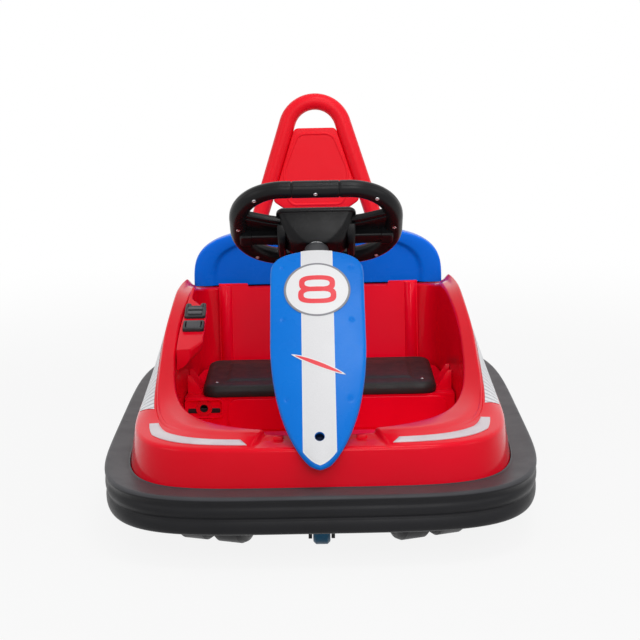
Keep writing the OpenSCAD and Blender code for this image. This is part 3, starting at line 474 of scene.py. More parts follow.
def rect_loops(rows, steps):
    """Rounded rectangles one above the other: each row is height, width, depth, radius and centre."""
    return np.stack([stacked(*(round_rect(w, h, r, steps) + [x, y]).T, z) for z, w, h, r, x, y in rows])


def rising(w, h, r, levels, steps):
    """Loops of a rounded rectangle drawn in by each level's inset and set at its height."""
    return rect_loops([(z, w - 2 * d, h - 2 * d, max(r - d, min(3.0, h / 2 - d - 0.1)), 0, 0)
                       for d, z in levels], steps)


def tilted(p, origin, angle):
    """From a plane that climbs towards the tail at an angle (across, up the slope, off it) to the kart."""
    x, up, off = np.moveaxis(p, -1, 0)
    return stacked(x, up * cos(angle) - off * sin(angle), up * sin(angle) + off * cos(angle)) + origin


def on_box_front(flat, x, z, ring=False):
    """Flat loops (across, up, off the face) stood on the front of the seat box about the point x, z."""
    return loft(tilted(flat, (x, BOX_FRONT_Y, z), pi / 2), ring)


def socket_ledge():
    """A quarter-round ledge below the charging socket: half rings that shrink downwards."""
    a = np.linspace(0, pi, 21)[None, :]
    t = np.linspace(0, pi / 2, 9)[:, None]
    r = 15 * np.cos(0.94 * t)
    return loft(stacked(SOCKET_X + r * np.cos(a), BOX_FRONT_Y + 0.2 - 0.55 * r * np.sin(a), 91.5 - 9 * np.sin(t)))


def socket_plastic(name):
    """Red flange with a black insert: the colour changes 6.5 mm from the socket's axis, along Y."""
    finish, place, feed = new_finish(name)
    across, upward = place.axis(0) - SOCKET_X * MM, place.axis(2) - SOCKET_Z * MM
    ring = ((across * across + upward * upward) ** 0.5).step(0.0063, 0.0067)
    speck = place.noise(400, 3)
    feed("Base Color", ring.tint((0.012, 0.012, 0.013), speck.tint((0.64, 0.002, 0.012), (0.74, 0.003, 0.016))))
    feed("Roughness", speck * 0.1 + 0.25)
    feed("Normal", place.noise(900).bump(0.0002, 0.2))
    return finish


dress(socket_plastic("socket_plastic"), "charge_socket")
piece("seat_fins", [wedge(side * 187, y, side) for side in (-1, 1) for y in (12.0, 54.0)], tub_red_painted_light, "red_shell")
# A black film 0.5 mm proud of the box front across the socket: painted shade standing in for the dark inside of the
# socket's niche.
shade_slot_levels = [(0, -0.2), (0, 0.3), (0.4, 0.5), (2, 0.5)]
panel_levels = [(0, -0.3), (0, 1.0), (0.4, 1.6), (1.2, 2.0), (2.4, 2.0), (12, 2.0)]
frame_levels = [(0, -0.2), (0, 4.0), (0.6, 4.8), (2.4, 4.8), (3, 4.0), (3, -0.2)]
piece("socket_slot_painted_shade", [on_box_front(rising(52, 8, 2, shade_slot_levels, 6), SOCKET_X, SOCKET_Z - 4.5)],
      caster_black, "black_moulding")
piece("seat_front_panel", [on_box_front(rising(352, 52, 17, panel_levels, 8), 28, 96), socket_ledge(),
                           on_box_front(rising(62, 32, 8, frame_levels, 8), SOCKET_X, SOCKET_Z, ring=True)],
      tub_red_painted_light, "red_shell")


# Seat pad: a black moulded pad with a pebble grain and a middle that stands a little higher, rounded at its
# edge. It drops on the seat box and is held by two screws near its front corners.

PAD_BORDER = 18.4


def turned(profile, centre, axis, side, count):
    """Loops of a profile of (radius, height) turned about an axis through centre, starting at side."""
    profile = np.asarray(profile, float)[:, None, :]
    a = turn(count)[None, :, None]
    around = np.cos(a) * np.asarray(side) + np.sin(a) * np.cross(axis, side)
    return np.asarray(centre) + profile[..., :1] * around + profile[..., 1:] * np.asarray(axis)


def screw(centre, axis, r=2.6, rise=0.9):
    """A pan-head screw: a profile turned about an axis, with a dimple for the driver in its middle."""
    axis = unit(np.asarray(axis, float))
    profile = [(r, -1.0), (r, 0.35 * rise), (0.8 * r, 0.85 * rise), (0.5 * r, rise), (0.36 * r, 0.9 * rise),
               (0.28 * r, 0.3 * rise)]
    return loft(turned(profile, centre, axis, unit(np.cross(axis, (0.3, 0.9, 0.1))), 18))


pad_levels = [(3, 0), (0.6, 1.5), (0, 4), (0, 9.5), (0.9, 12.6), (3.2, 15.6), (6.6, 17.5), (11, 18.3),
              (20, PAD_BORDER), (35, PAD_BORDER), (37, 18.6), (39.5, 19.5), (42, 20.5), (44.5, 20.9),
              (70, 21), (96, 21)]
pad_black = moulded("pad_black", (0.016, 0.0155, 0.016), (0.024, 0.0235, 0.024), (0.46, 0.60), 620, 0.0006)
screw_steel = moulded("screw_steel", (0.55, 0.55, 0.56), (0.64, 0.64, 0.65), (0.25, 0.4), 900, 0.0001,
                      Metallic=0.7)
piece("seat_pad_moulding", [loft(rising(376, 196, 24, pad_levels, 14) + [0, 82, SEAT_Z])],
      pad_black, "black_moulding", "seat_pad")
piece("seat_screws", [screw((x, 14, SEAT_Z + PAD_BORDER), (0, 0, 1)) for x in (-166, 166)], screw_steel, "steel")


# Tail cowl: a blue moulding behind the backrest, an arched hood whose front face is dished inside a broad
# rim. It is screwed to the deck, and the legs of the headrest hoop are plugged into its top.

COWL_HALF, COWL_Y, COWL_FOOT, COWL_TOP, COWL_POWER = 215.0, 237.0, 260.75, 358.0, 3.4


def cowl_hood():
    """Arches of a superellipse, |x/w|^3.4 + |z/h|^3.4 = 1, one for each row: share of the width, share of
    the height and place along the kart; from the rounded back over the top to the dished front."""
    rows = through([(0.80, 0.50, 88), (0.86, 0.62, 87), (0.905, 0.76, 79), (0.95, 0.88, 66), (0.985, 0.972, 44),
                    (1.0, 0.998, 20), (1.0, 1.0, 7), (0.996, 0.995, 2.5), (0.985, 0.983, 0.5),
                    (0.972, 0.967, 0)], 5)
    dish = [(0.93, 0), (0.865, 0.1), (0.852, 0.6), (0.842, 1.6), (0.832, 3.4), (0.822, 5.0), (0.812, 5.8),
            (0.80, 6), (0.60, 6), (0.3, 6), (0.05, 6)]
    rows = np.vstack([rows, [(share, share, depth) for share, depth in dish]])[:, None, :]
    a = np.linspace(0, pi, 121)[None, :]
    x = COWL_HALF * rows[..., 0] * np.sign(np.cos(a)) * np.abs(np.cos(a)) ** (2 / COWL_POWER)
    z = COWL_FOOT + (COWL_TOP - COWL_FOOT) * rows[..., 1] * np.abs(np.sin(a)) ** (2 / COWL_POWER)
    return loft(stacked(x, COWL_Y + rows[..., 2], z))


cowl_blue = gloss_plastic("cowl_blue", (0.0005, 0.145, 0.80), (0.0007, 0.165, 0.86), (0.24, 0.34))
piece("cowl_hood", [cowl_hood()], cowl_blue, "blue", "rear_cowl")
piece("cowl_screws", [screw((x, 325, 274), (0, 1, 0), 3.2, 1.0) for x in (-126, -42, 42, 126)],
      screw_steel, "steel")


# Headrest: a red blow-moulded tube bent into a hoop, and a panel with a bead round it that is moulded
# between the legs. Both lean back a little, and the legs stand in the cowl.

LEAN, SPLAY = radians(8), radians(17.5)
HOOP_Y, HOOP_Z, HOOP_R = 276.6, 328.0, 14.0
BOW_RISE, BOW_R = 194.4, 50.0
LEG_TOP_X, LEG_TOP = BOW_R * cos(SPLAY), BOW_RISE + BOW_R * sin(SPLAY)


def in_hoop(p):
    """From the hoop's own upright plane (across, up, out of the plane to the nose) to the kart."""
    return tilted(p, (0, HOOP_Y, HOOP_Z), pi / 2 - LEAN)


def seamed(count, gap):
    """Angles round a section, with more of them close by the parting lines at 0 and at half a turn."""
    return np.sort(np.concatenate([turn(count), [gap, pi - gap, pi + gap, 2 * pi - gap]]))


def hoop_tube():
    """A round section carried along two straight legs and the bow between them, with a fine parting ridge
    in the hoop's plane."""
    a = np.linspace(SPLAY, pi - SPLAY, 72)
    bow = stacked(BOW_R * np.cos(a), BOW_RISE + BOW_R * np.sin(a), a)
    d = LEG_TOP / cos(SPLAY) * np.linspace(1, 0, 14, endpoint=False)
    right = stacked(bow[0, 0] + d * sin(SPLAY), bow[0, 1] - d * cos(SPLAY), SPLAY)
    left = [0, 0, pi] + right[::-1] * [-1, 1, -1]
    x, up, angle = np.vstack([right, bow, left]).T[..., None]
    b = seamed(36, 0.05)[None, :]
    r = HOOP_R + 0.25 * np.exp(-(np.sin(b) / 0.06) ** 2)
    return loft(in_hoop(stacked(x + r * np.cos(b) * np.cos(angle), up + r * np.cos(b) * np.sin(angle),
                                r * np.sin(b))))


def rounded_polygon(half, inset, cut):
    """A convex outline, given by its right half from foot to top, mirrored, drawn in by inset along its
    bisectors, its corners rounded over cut."""
    p = np.array(half + [(-x, v) for x, v in half[::-1]], float)
    d = unit(np.roll(p, -1, 0) - p)
    n = stacked(-d[:, 1], d[:, 0])
    m = np.roll(n, 1, 0)
    q = p + inset * (n + m) / (1 + (n * m).sum(-1, keepdims=True))
    ring = np.vstack([q[-1:], q, q[:1]])
    cuts = [0] + [max(cut - 0.5 * inset, 1.5)] * len(p) + [0]
    return filleted(ring[None], cuts, [2] * (len(p) + 1), 9)[0, 3:-3]


def headrest_pad():
    """Panel whose sides follow the legs and whose foot is drawn in, with eased edges on both faces."""
    def inside(v):
        """Half width between the legs at the height v."""
        return LEG_TOP_X + (LEG_TOP - v) * tan(SPLAY) - (HOOP_R + 0.2) / cos(SPLAY)
    top, web, foot = BOW_RISE + 4, BOW_RISE - 122, BOW_RISE - 137
    half = [(54, foot), (inside(web), web), (inside(top), top)]
    face = [(0, 5.5), (0.5, 6.8), (1.6, 7.7), (3, 8.0), (14, 8.0), (30, 8.0)]
    levels = [(d, -z) for d, z in face[::-1]] + face
    return loft([in_hoop(stacked(*rounded_polygon(half, d, 8).T, z)) for d, z in levels])


def outward(line):
    """Unit vectors square to a closed line in a plane, to its right."""
    along = unit(np.roll(line, -1, 0) - np.roll(line, 1, 0))
    return stacked(along[:, 1], -along[:, 0])


def headrest_bead(face):
    """A raised bead of half-round section along a six-sided line on one face of the panel."""
    line = rounded_polygon([(47, BOW_RISE - 129), (56.5, BOW_RISE - 72), (30, BOW_RISE - 6)], 0, 14)
    a = turn(12)[None, :]
    x, up = line.T[..., None] + outward(line).T[..., None] * 2.6 * np.cos(a)
    return loft(in_hoop(stacked(x, up, face * (7.7 + 1.5 * np.sin(a)))), ring=True)


satin_red = moulded("satin_red", (0.88, 0.004, 0.016), (0.93, 0.006, 0.021), (0.36, 0.46), 420, 0.0003, IOR=1.42)
piece("hoop_tube", [hoop_tube()], satin_red, "red_hoop", "headrest_hoop")
piece("headrest_pad", [headrest_pad(), headrest_bead(1), headrest_bead(-1)], satin_red, "red_hoop",
      "headrest_panel")
piece("hoop_screws", [screw(in_hoop(np.array([x, 152.0, 13.7])), (0, -cos(LEAN), sin(LEAN)), 1.8, 0.5)
                      for x in (-65.8, 65.8)], satin_red, "red_hoop")


# Fairing: a blue moulded shield in front of the column, crowned across and bowed along, its edge turned
# under in a skirt. Six screws in dimples hold it to its brackets, and an open boss takes one more at the tip.

COLUMN = sqrt(0.5)                      # sine and cosine of the column's tilt, 45 degrees
COLUMN_OUT = np.array([0, -COLUMN, COLUMN])
WHEEL_Y, WHEEL_Z = -60.0, 411.0
FAIRING_TOP, FAIRING_L, FAIRING_HALF, FAIRING_EDGE = -96.0, 363.0, 68.0, 4.0
ARCH, ARCH_POWER = 44.0, 2.8
DIMPLES = [(50, 0.09 * FAIRING_L), (49, 0.35 * FAIRING_L), (44, 0.71 * FAIRING_L)]


def in_column(p):
    """From the steering wheel's frame (X across, Y up its face, Z up the column) to the kart."""
    return tilted(p * [-1, 1, -1], (0, WHEEL_Y, WHEEL_Z), 0.75 * pi)


def fairing_half(s):
    """Half width at s from the top: 68 mm, an arched top of 44 mm, |x/68|^2.8 + |y/44|^2.8 = 1, and a tip
    drawn in as (1 - u*u)^0.62 from a little under half way."""
    u = np.clip((s / FAIRING_L - 0.45) / 0.55, 0, 1)
    t = np.clip(1 - s / ARCH, 0, 1)
    return FAIRING_HALF * (1 - u * u) ** 0.62 * (1 - t**ARCH_POWER) ** (1 / ARCH_POWER)


def on_fairing(x, s, lift=0.0):
    """Point on the crown of the fairing, in the column's frame: bowed along and crowned across."""
    u = s / FAIRING_L
    crown = 1 - (x / np.maximum(fairing_half(s), 14)) ** 2
    return stacked(x, 60 + 36 * u * (1 - u) + 5 * np.clip(crown, 0, 1) + lift, FAIRING_TOP - s)


HOLE = in_column(on_fairing(0.0, 0.871 * FAIRING_L))


def fairing_shield():
    """Rings of the outline drawn in towards its spine: over the crown, round the edge, down the skirt,
    and back inside 3 mm under the crown; a dimple sinks the crown round each screw."""
    s = np.concatenate([ARCH * (1 - np.cos(np.linspace(0, pi / 2, 40)) ** (2 / ARCH_POWER)),
                        np.linspace(47, 0.5 * FAIRING_L, 54),
                        FAIRING_L * (0.5 + 0.5 * np.sin(np.linspace(0.02, pi / 2, 90)))])
    half = fairing_half(s)
    edge = np.vstack([stacked(half, s), stacked(-half, s)[::-1][1:-1]])
    spine = stacked(0, np.clip(edge[:, 1], 40, FAIRING_L - 52))
    length = np.linalg.norm(edge - spine, axis=1)
    inward = (spine - edge) / np.maximum(length, 1e-6)[:, None]
    inset = np.concatenate([length.max() * np.linspace(1, 0, 44)[:-1] ** 1.15 + 4.2,
                            [3.4, 2.5, 1.7, 1.0, 0.5, 0.15, 0]])
    d = np.minimum(inset[:, None], length)
    p = edge + inward * d[..., None]
    past = FAIRING_EDGE - np.minimum(d, FAIRING_EDGE)
    drop = FAIRING_EDGE - np.sqrt(np.clip(FAIRING_EDGE**2 - past**2, 0, None))
    dent = sum(1.5 * np.exp(-((np.abs(p[..., 0]) - x) ** 2 + (p[..., 1] - t) ** 2) / 9) for x, t in DIMPLES)
    skirt = 11 * (1 - 0.7 * smooth(0.72 * FAIRING_L, 0.95 * FAIRING_L, edge[:, 1]))
    foot = np.maximum(skirt, 4.4)
    under = [(0, np.maximum(0.5 * skirt, 4.2)), (0, foot), (3, foot), (3.2, 3.6), (8, 3.2), (30, 3.2), (70, 3.2)]
    rings = [on_fairing(*(edge + inward * np.minimum(d, length)[:, None]).T, -sink) for d, sink in under]
    return loft(in_column(np.concatenate([on_fairing(p[..., 0], p[..., 1], -drop - dent), rings])))


def bored(made, r):
    """Cuts the screw hole near the fairing's tip, of radius r, through a piece, and keeps the cut mesh."""
    side = np.cross(COLUMN_OUT, (1, 0, 0))
    drill = placed("drill", new_mesh("drill", [loft(turned([(r, -20), (r, 20)], HOLE, COLUMN_OUT, side, 48))]))
    cut = made.modifiers.new("hole", "BOOLEAN")
    cut.operation, cut.object, cut.solver = "DIFFERENCE", drill, "EXACT"
    done = bpy.data.meshes.new_from_object(made.evaluated_get(bpy.context.evaluated_depsgraph_get()))
    made.modifiers.clear()
    made.data = done
    bpy.data.objects.remove(drill)


def screw_boss():
    """A cup behind the hole: a closed profile turned about the hole's axis, its near-black blue painted shade."""
    profile = [(6.6, -1.6), (6.6, -12), (0.2, -12.4), (0.2, -14), (8.6, -14), (9, -13), (9, -2.4)]
    return loft(turned(profile, HOLE, COLUMN_OUT, (1, 0, 0), 40), ring=True)


gloss_blue = gloss_plastic("gloss_blue", (0.0006, 0.15, 0.60), (0.0008, 0.175, 0.66), (0.24, 0.34))
# The boss's near-black blue is painted shade, standing in for the dark inside of the hole.
boss_painted_shade = moulded("boss_painted_shade", (0.002, 0.012, 0.05), (0.003, 0.016, 0.065), (0.40, 0.55), 900, 0.0002)
bored(piece("fairing_shield", [fairing_shield()], gloss_blue, "blue", "fairing", crease=55), 6.5)
piece("screw_boss", [screw_boss()], boss_painted_shade, "blue")
piece("fairing_screws", [screw(in_column(on_fairing(side * x, t, -1.4)), COLUMN_OUT, 2.0, 0.7)
                         for side in (-1, 1) for x, t in DIMPLES], gloss_blue, "blue")
dress(grained_black, "fairing_bracket", ease=0.8)


# Prints on the fairing: vinyl film, a pale stripe with a fine white border that ends in a point, a number
# disc with a grey ring, a plain racing figure and one slanted flash below it.

DISC_S, FLASH_S, FILM = 75.0, 0.56 * FAIRING_L, 0.25


def film(lower, upper, ring=False):
    """A thin closed layer between two sheets of points (along x across x 3)."""
    return loft(np.concatenate([upper, lower[:, ::-1]], 1), ring)


def fairing_film(x, s, lift, ring=False):
    """A film over the points x across and s from the top, its face lifted that far off the crown."""
    return film(in_column(on_fairing(x, s, lift - FILM)), in_column(on_fairing(x, s, lift)), ring)


def stripe(half, inset, short, lift):
    """A band of that half width down the middle; at the foot it keeps inset from the outline, moved up by
    short, so that it ends in a round point."""
    end = FAIRING_L - short
    tip = end * (0.6 + 0.4 * np.sin(np.linspace(0, pi / 2, 90)))
    s = np.concatenate([np.linspace(2.2, 0.6 * end, 50), tip[1:]])[:, None]
    w = np.minimum(half, np.maximum(fairing_half(s + short) - inset, 0.02))
    return fairing_film(w * np.linspace(-1, 1, 15), s, lift)


def vinyl(name, low, high):
    """Printed vinyl: even ink with a fine dot screen in its tone, and slight ripples where it was laid."""
    finish, place, feed = new_finish(name, Specular_IOR_Level=0.25)
    feed("Base Color", place.noise(1600, 1).step(0.4, 0.6).tint(low, high))
    feed("Roughness", place.noise(60, 4).step(0.3, 0.7) * 0.10 + 0.32)
    feed("Normal", place.noise(70).bump(0.0004, 0.06))
    return finish


def disc(r, lift, hole=0.0):
    """A round film, or a ring of film where hole is its inner radius."""
    a = turn(96)[:, None]
    t = np.linspace(hole, r, 4 if hole else 10)[None, :]
    return fairing_film(t * np.cos(a), DISC_S + t * np.sin(a), lift, ring=True)


def figure_loop(up, w, h, lift, stroke=8.0):
    """One bowl of the figure: a flat stroke between two curves |x/a|^3 + |y/b|^3 = 1."""
    a = turn(128)[:, None]
    d = np.linspace(0, stroke, 5)[None, :]
    x = (w / 2 - d) * np.sign(np.cos(a)) * np.abs(np.cos(a)) ** (2 / 3)
    y = (h / 2 - d) * np.sign(np.sin(a)) * np.abs(np.sin(a)) ** (2 / 3)
    return fairing_film(x, DISC_S - up - y, lift, ring=True)


def slash(lean, length, width, lift):
    """A slanted flash: a stroke that swells from a point to its middle and back."""
    u = np.linspace(-1, 1, 48)[:, None]
    t = np.linspace(-1, 1, 7)[None, :]
    s = FLASH_S - u * lean / 2 + t * width / 2 * (1 - u * u) ** 0.8 + 0.02 * t
    return fairing_film(u * length / 2, s, lift)


white_vinyl = vinyl("white_vinyl", (0.71, 0.71, 0.72), (0.75, 0.75, 0.76))
pale_vinyl = vinyl("pale_vinyl", (0.64, 0.64, 0.655), (0.69, 0.69, 0.705))
grey_vinyl = vinyl("grey_vinyl", (0.20, 0.20, 0.22), (0.25, 0.25, 0.27))
red_vinyl = vinyl("red_vinyl", (0.72, 0.045, 0.06), (0.78, 0.06, 0.075))
bored(piece("stripe_border", [stripe(23.2, 2.4, 4.2, 0.45)], white_vinyl, "white_print", "fairing_stripe"), 7.0)
bored(piece("stripe_band", [stripe(21.8, 3.9, 5.6, 0.62)], pale_vinyl, "white_print"), 7.0)
piece("disc_field", [disc(46.2, 0.95)], white_vinyl, "white_print", "number_disc")
piece("disc_ring", [disc(48, 1.0, 45)], grey_vinyl, "white_print")
piece("figure", [figure_loop(10.4, 52, 29, 1.15), figure_loop(-10.6, 55, 30, 1.17)], red_vinyl, "white_print")
piece("flash_edge", [slash(34, 76, 11, 0.85)], white_vinyl, "white_print")
piece("flash_stroke", [slash(30, 66, 7, 1.05)], red_vinyl, "white_print")


# Steering wheel: two black moulded halves screwed together from the front, with a parting line round the
# rim, a boxed hub and four spokes. It turns with the column in a flared collar on the fixed post.

RIM_HALF_W, RIM_HALF_H, RIM_CORNER, RIM_R = 119.0, 85.0, 70.0, 13.0


def rim_tube():
    """A round section carried round a rounded rectangle, swelling at the grips, pinched by two grooves on
    the top bar and by the parting line of the two halves."""
    line = round_rect(2 * RIM_HALF_W, 2 * RIM_HALF_H, RIM_CORNER, 160)
    step = np.linalg.norm(np.roll(line, -1, 0) - line, axis=1)
    parts = np.where(step > 3, 60, 1)
    keep = np.repeat(np.arange(len(line)), parts)
    share = ((np.arange(len(keep)) - (np.cumsum(parts) - parts)[keep]) / parts[keep])[:, None]
    line = line[keep] * (1 - share) + np.roll(line, -1, 0)[keep] * share
    x, y, out_x, out_y = np.column_stack([line, outward(line)]).T[..., None]
    b = seamed(32, 0.06)[None, :]
    groove = np.exp(-((np.abs(x) - 36) / 0.9) ** 2) * (y > 0)
    tube = RIM_R + smooth(60, 112, np.abs(x)) - 1.3 * groove - 0.35 * np.exp(-(np.sin(b) / 0.07) ** 2)
    flat, rise = tube * np.cos(b), tube * np.sin(b)
    return loft(in_column(stacked(x + out_x * flat, y + out_y * flat, rise)), ring=True)


def hub_block():
    """The boxed hub, rounded rectangles up the column: neck, tapered back, a narrow wall and the eased face
    to the driver. Each row is height, width, depth, centre and radius."""
    rows = [
        (-44, 58, 38, -9, 17), (-42, 66, 42, -9.5, 18), (-38, 78, 48, -10.5, 18), (-32, 90, 54, -10, 17),
        (-22, 102, 61, -8.5, 15), (-11, 110, 67, -7, 12), (-3, 115, 71, -6.2, 10), (-1.4, 116.4, 72, -6, 9.5),
        (-0.8, 120.6, 75, -6, 9.5), (0, 122, 76, -6, 9.5), (2.5, 122, 76, -6, 9.5), (5.5, 120.6, 74.6, -6, 9.5),
        (8, 117.4, 71.4, -6, 9.5), (9.5, 112, 66, -6, 9), (10, 106, 60, -6, 8.5), (8.8, 98, 52, -6, 8),
        (8.6, 40, 20, -6, 6)]
    return loft(in_column(rect_loops([(z, w, h, r, 0, y) for z, w, h, y, r in rows], 8)))


def hub_side(side):
    """One side of the hub, each part a row of rounded rectangles: a rib down the neck, and across the wheel
    two flat bars of the upper spoke, the boxed lower spoke that ends in a collar against the rim, and a thin
    web set back in the corner between the spokes."""
    neck = [(-16, 14, 56, -10), (-28, 13, 50, -14), (-36, 10, 40, -18), (-39, 6, 32, -20)]
    bar = [(54, 12, -6), (70, 15, -5.4), (96, 22.5, -4), (109, 26, -3)]
    box = [(54, 24, 22), (92, 22, 20), (99, 22, 20), (100, 25, 23), (113, 25, 23), (116, 23.5, 21.5), (118, 20, 18)]
    web = [(52, 34, -4), (80, 39, -1), (109, 46, 3)]
    rib = rect_loops([(z, w, h, 2.5, side * 53, y) for z, w, h, y in neck], 5)
    spokes = [rect_loops([(side * x, 8.6, 11, 2.6, y + up, z) for x, y, z in bar], 6) for up in (-4.8, 4.8)]
    spokes.append(rect_loops([(side * x, h, d, 3.5, -20, -8) for x, h, d in box], 6))
    spokes.append(rect_loops([(side * x, h, 5, 1.5, y, -3) for x, h, y in web], 5))
    return [loft(in_column(part)) for part in [rib, *(np.roll(spoke, 1, -1) for spoke in spokes)]]


def post_collar():
    """A flared collar round the foot of the column: a closed profile turned about it."""
    profile = [(14.5, -49), (16.5, -48), (18, -49.5), (19, -56), (21.5, -66), (25, -75), (28.5, -82), (29.5, -86),
               (28.5, -90), (22.4, -91), (22.4, -88), (14.5, -80)]
    return loft(in_column(turned(profile, (0, 0, 0), (0, 0, 1), (1, 0, 0), 48)), ring=True)


wheel_black = moulded("wheel_black", (0.0045, 0.0045, 0.005), (0.0075, 0.0075, 0.0085), (0.27, 0.37),
                      1300, 0.0002, Specular_IOR_Level=0.17)
wheel_screws = [(0, 88, -12.6)] + [(side * x, y, -13.4) for x, y in ((92, 75), (119.5, 3), (93.2, -69.2))
                                   for side in (1, -1)]
piece("rim_tube", [rim_tube()], wheel_black, "black_moulding", "steering_rim", body="steering", crease=60)
piece("hub_block", [hub_block(), *hub_side(-1), *hub_side(1)], wheel_black, "black_moulding", "steering_hub",
      body="steering")
piece("post_collar", [post_collar()], case_grey, "black_moulding")
piece("wheel_screws", [screw(in_column(np.array(p)), (0, -COLUMN, -COLUMN), 3.1, 0.9) for p in wheel_screws],
      screw_steel, "steel", body="steering")
dress(grained_black, "steering_post", ease=0.8)
dress(zinc, "steering_column")


# Switch console: a red moulding on the right coaming with a sloping top. A sound panel with two bars and
# two ears, and below it a rocker in a frame, are clipped into it; all three are black.

CONSOLE_X, CONSOLE_Y, SLOPE = -198.0, 3.0, radians(16.5)
CONSOLE_Z = cockpit_z(CONSOLE_Y)
ROCKER_Y = -18.0


def console_block():
    """A rounded five-sided section under the console's sloping top, carried along the cockpit's edge and
    thinning to its front end."""
    phi = np.radians(np.linspace(139, 186, 80))
    r = cockpit(phi) - 1.5
    y = PLAN_Y + r * np.sin(phi)
    w = 6 + 34 * smooth(CONSOLE_Y - 121, CONSOLE_Y - 51, y) * (1 - smooth(CONSOLE_Y + 56, CONSOLE_Y + 86, y))
    z, zi = (CONSOLE_Z + (PLAN_Y + d * np.sin(phi) - CONSOLE_Y) * tan(SLOPE) for d in (r, r - w))
    corners = [(r, z - 16), (r, z), (r - w, zi), (r - w, zi - 12.8), (r - 0.6 * w, z - 25.6), (r, z - 32),
               (r, z - 16)]
    corners = np.stack([stacked(*c) for c in corners], 1)
    line = filleted(corners, [0, 2, 3.5, 6, 6, 2, 0], [2, 4, 2, 2, 2, 2], 6)[:, :-1]
    return loft(on_plan(phi[:, None], line[..., 0], line[..., 1]))


def in_console(p):
    """From the console's sloping plane (across, up the slope, off it) to the kart."""
    return tilted(p, (CONSOLE_X, CONSOLE_Y, CONSOLE_Z), SLOPE)


def key(x, y, w, h, r, levels):
    """A key or frame on the console: a rounded rectangle through levels of inset and height."""
    return loft(in_console(rising(w, h, r, levels, 5) + [x, y, 0]))


piece("console_block", [console_block()], gloss_red, "red_shell", "switch_console", crease=50)
panel_black = moulded("panel_black", (0.020, 0.020, 0.022), (0.030, 0.030, 0.033), (0.28, 0.40), 1100, 0.0002)
key_grey = moulded("key_grey", (0.060, 0.060, 0.065), (0.080, 0.080, 0.086), (0.32, 0.44), 1100, 0.0002)
plate = [(0, 0.1), (0, 3.4), (0.5, 4.2), (1.4, 4.5), (2.6, 4.5), (3.0, 3.8), (8, 3.8)]
ear = [(0, 0.1), (0, 3.6), (0.8, 4.4), (2, 4.6)]
raised = [(0, 3.4), (0, 5.6), (0.4, 6.1), (1.1, 6.3), (2.2, 6.3)]
collar = [(0, 0.1), (0, 4.6), (0.6, 5.6), (1.6, 6.0), (3.6, 6.0), (4.2, 5.2), (4.4, 2.0), (9, 2.0)]
piece("sound_plate", [key(0, 30, 34, 38, 5, plate), *(key(x, 51, 9, 12, 4, ear) for x in (-12, 12))],
      panel_black, "black_moulding", "sound_panel")
piece("sound_bars", [key(0, y, 23, 9, 2, raised) for y in (37.5, 22.5)], key_grey, "black_moulding")
piece("rocker_frame", [key(0, ROCKER_Y, 34, 29, 4, collar)], panel_black, "black_moulding", "drive_switch")
rocker = rect_loops([(z, 22, 18 - d, 2, 0, 0) for d, z in
                     ((0, 2.0), (0, 5.0), (1, 6.0), (2.4, 6.4), (8, 6.4))], 5)
rocker[..., 2] += np.where(rocker[..., 2] > 3, 0.16 * rocker[..., 1], 0)
piece("rocker_key", [loft(in_console(rocker + [0, ROCKER_Y, 0]))], key_grey, "black_moulding")


# Lamp strips: frosted lenses let into the shoulder either side of the nose, with a row of lamps behind.
# Each hooks up towards the coaming at its outer end.

def on_shoulder(phi, share, lift):
    """Point between shoulder and coaming at angle phi: its share of the way up, lifted off the wall."""
    phi, share, lift = np.broadcast_arrays(phi, share, lift)
    p = up_wall(shell_rings(phi.ravel()), share.reshape(-1, 1), lift.reshape(-1, 1))
    return on_plan(phi.ravel(), p[:, 0], p[:, 1]).reshape(*phi.shape, 3)


def lamp_strip(side):
    """A band along the shoulder between two broken lines of angle and share of the way up: it ends in a slant
    near the nose and hooks up at its outer end."""
    t = np.linspace(0, 1, 101)[:, None]
    v = np.linspace(0, 1, 9)[None, :]
    low_angle, high_angle, low, high = (np.interp(t, [0, 0.8, 1], row) for row in (
        (17.0, 41.3, 48.0), (19.3, 39.4, 45.8), (0.30, 0.30, 0.50), (0.70, 0.66, 0.78)))
    phi = np.radians(270 + side * (low_angle * (1 - v) + high_angle * v))
    share = low * (1 - v) + high * v
    crown = 1.0 + 1.4 * (1 - (2 * v - 1) ** 4) * np.minimum(1, 40 * t * (1 - t)) ** 0.5
    return film(on_shoulder(phi, share, 0.05), on_shoulder(phi, share, crown))


def frosted(name):
    """Frosted lens: pale, slightly pink from the body behind, with fine ribs across the strip."""
    finish, place, feed = new_finish(name, Transmission_Weight=0.12, Coat_Weight=0.4, Coat_Roughness=0.1)
    feed("Base Color", place.noise(30, 3).step(0.3, 0.7).tint((0.62, 0.54, 0.58), (0.70, 0.63, 0.66)))
    feed("Roughness", place.noise(120, 3).step(0.3, 0.7) * 0.12 + 0.30)
    feed("Normal", ((place.axis(0) * 1500).math("SINE") * 0.5 + 0.5).bump(0.0004, 0.3))
    return finish


SIDES = (("left", 1), ("right", -1))
frosted_lens = frosted("frosted_lens")
for name, side in SIDES:
    piece(f"lamp_{name}", [lamp_strip(side)], frosted_lens, "lamp", f"light_strip_{name}")


# Side flashes: silvered vinyl on the sloping sides, slanted in front and rounded at the tail, printed with
# a grey hatch that thins out upwards. The film is laid on the finished body.

def side_film(side):
    """A long blade between shoulder and coaming: a slanted front end, and a tail rounded off."""
    t = np.linspace(0, 1, 140)[:, None]
    v = np.linspace(0, 1, 13)[None, :]
    phi = np.radians(270 + side * (55 + 7 * (1 - v) * (1 - t) ** 2 + 76 * t))
    span = np.sqrt(np.clip(1 - t**5, 0.0004, 1))
    share = 0.46 - 0.34 * span + 0.66 * span * v
    return film(on_shoulder(phi, share, 0.15), on_shoulder(phi, share, 0.75))


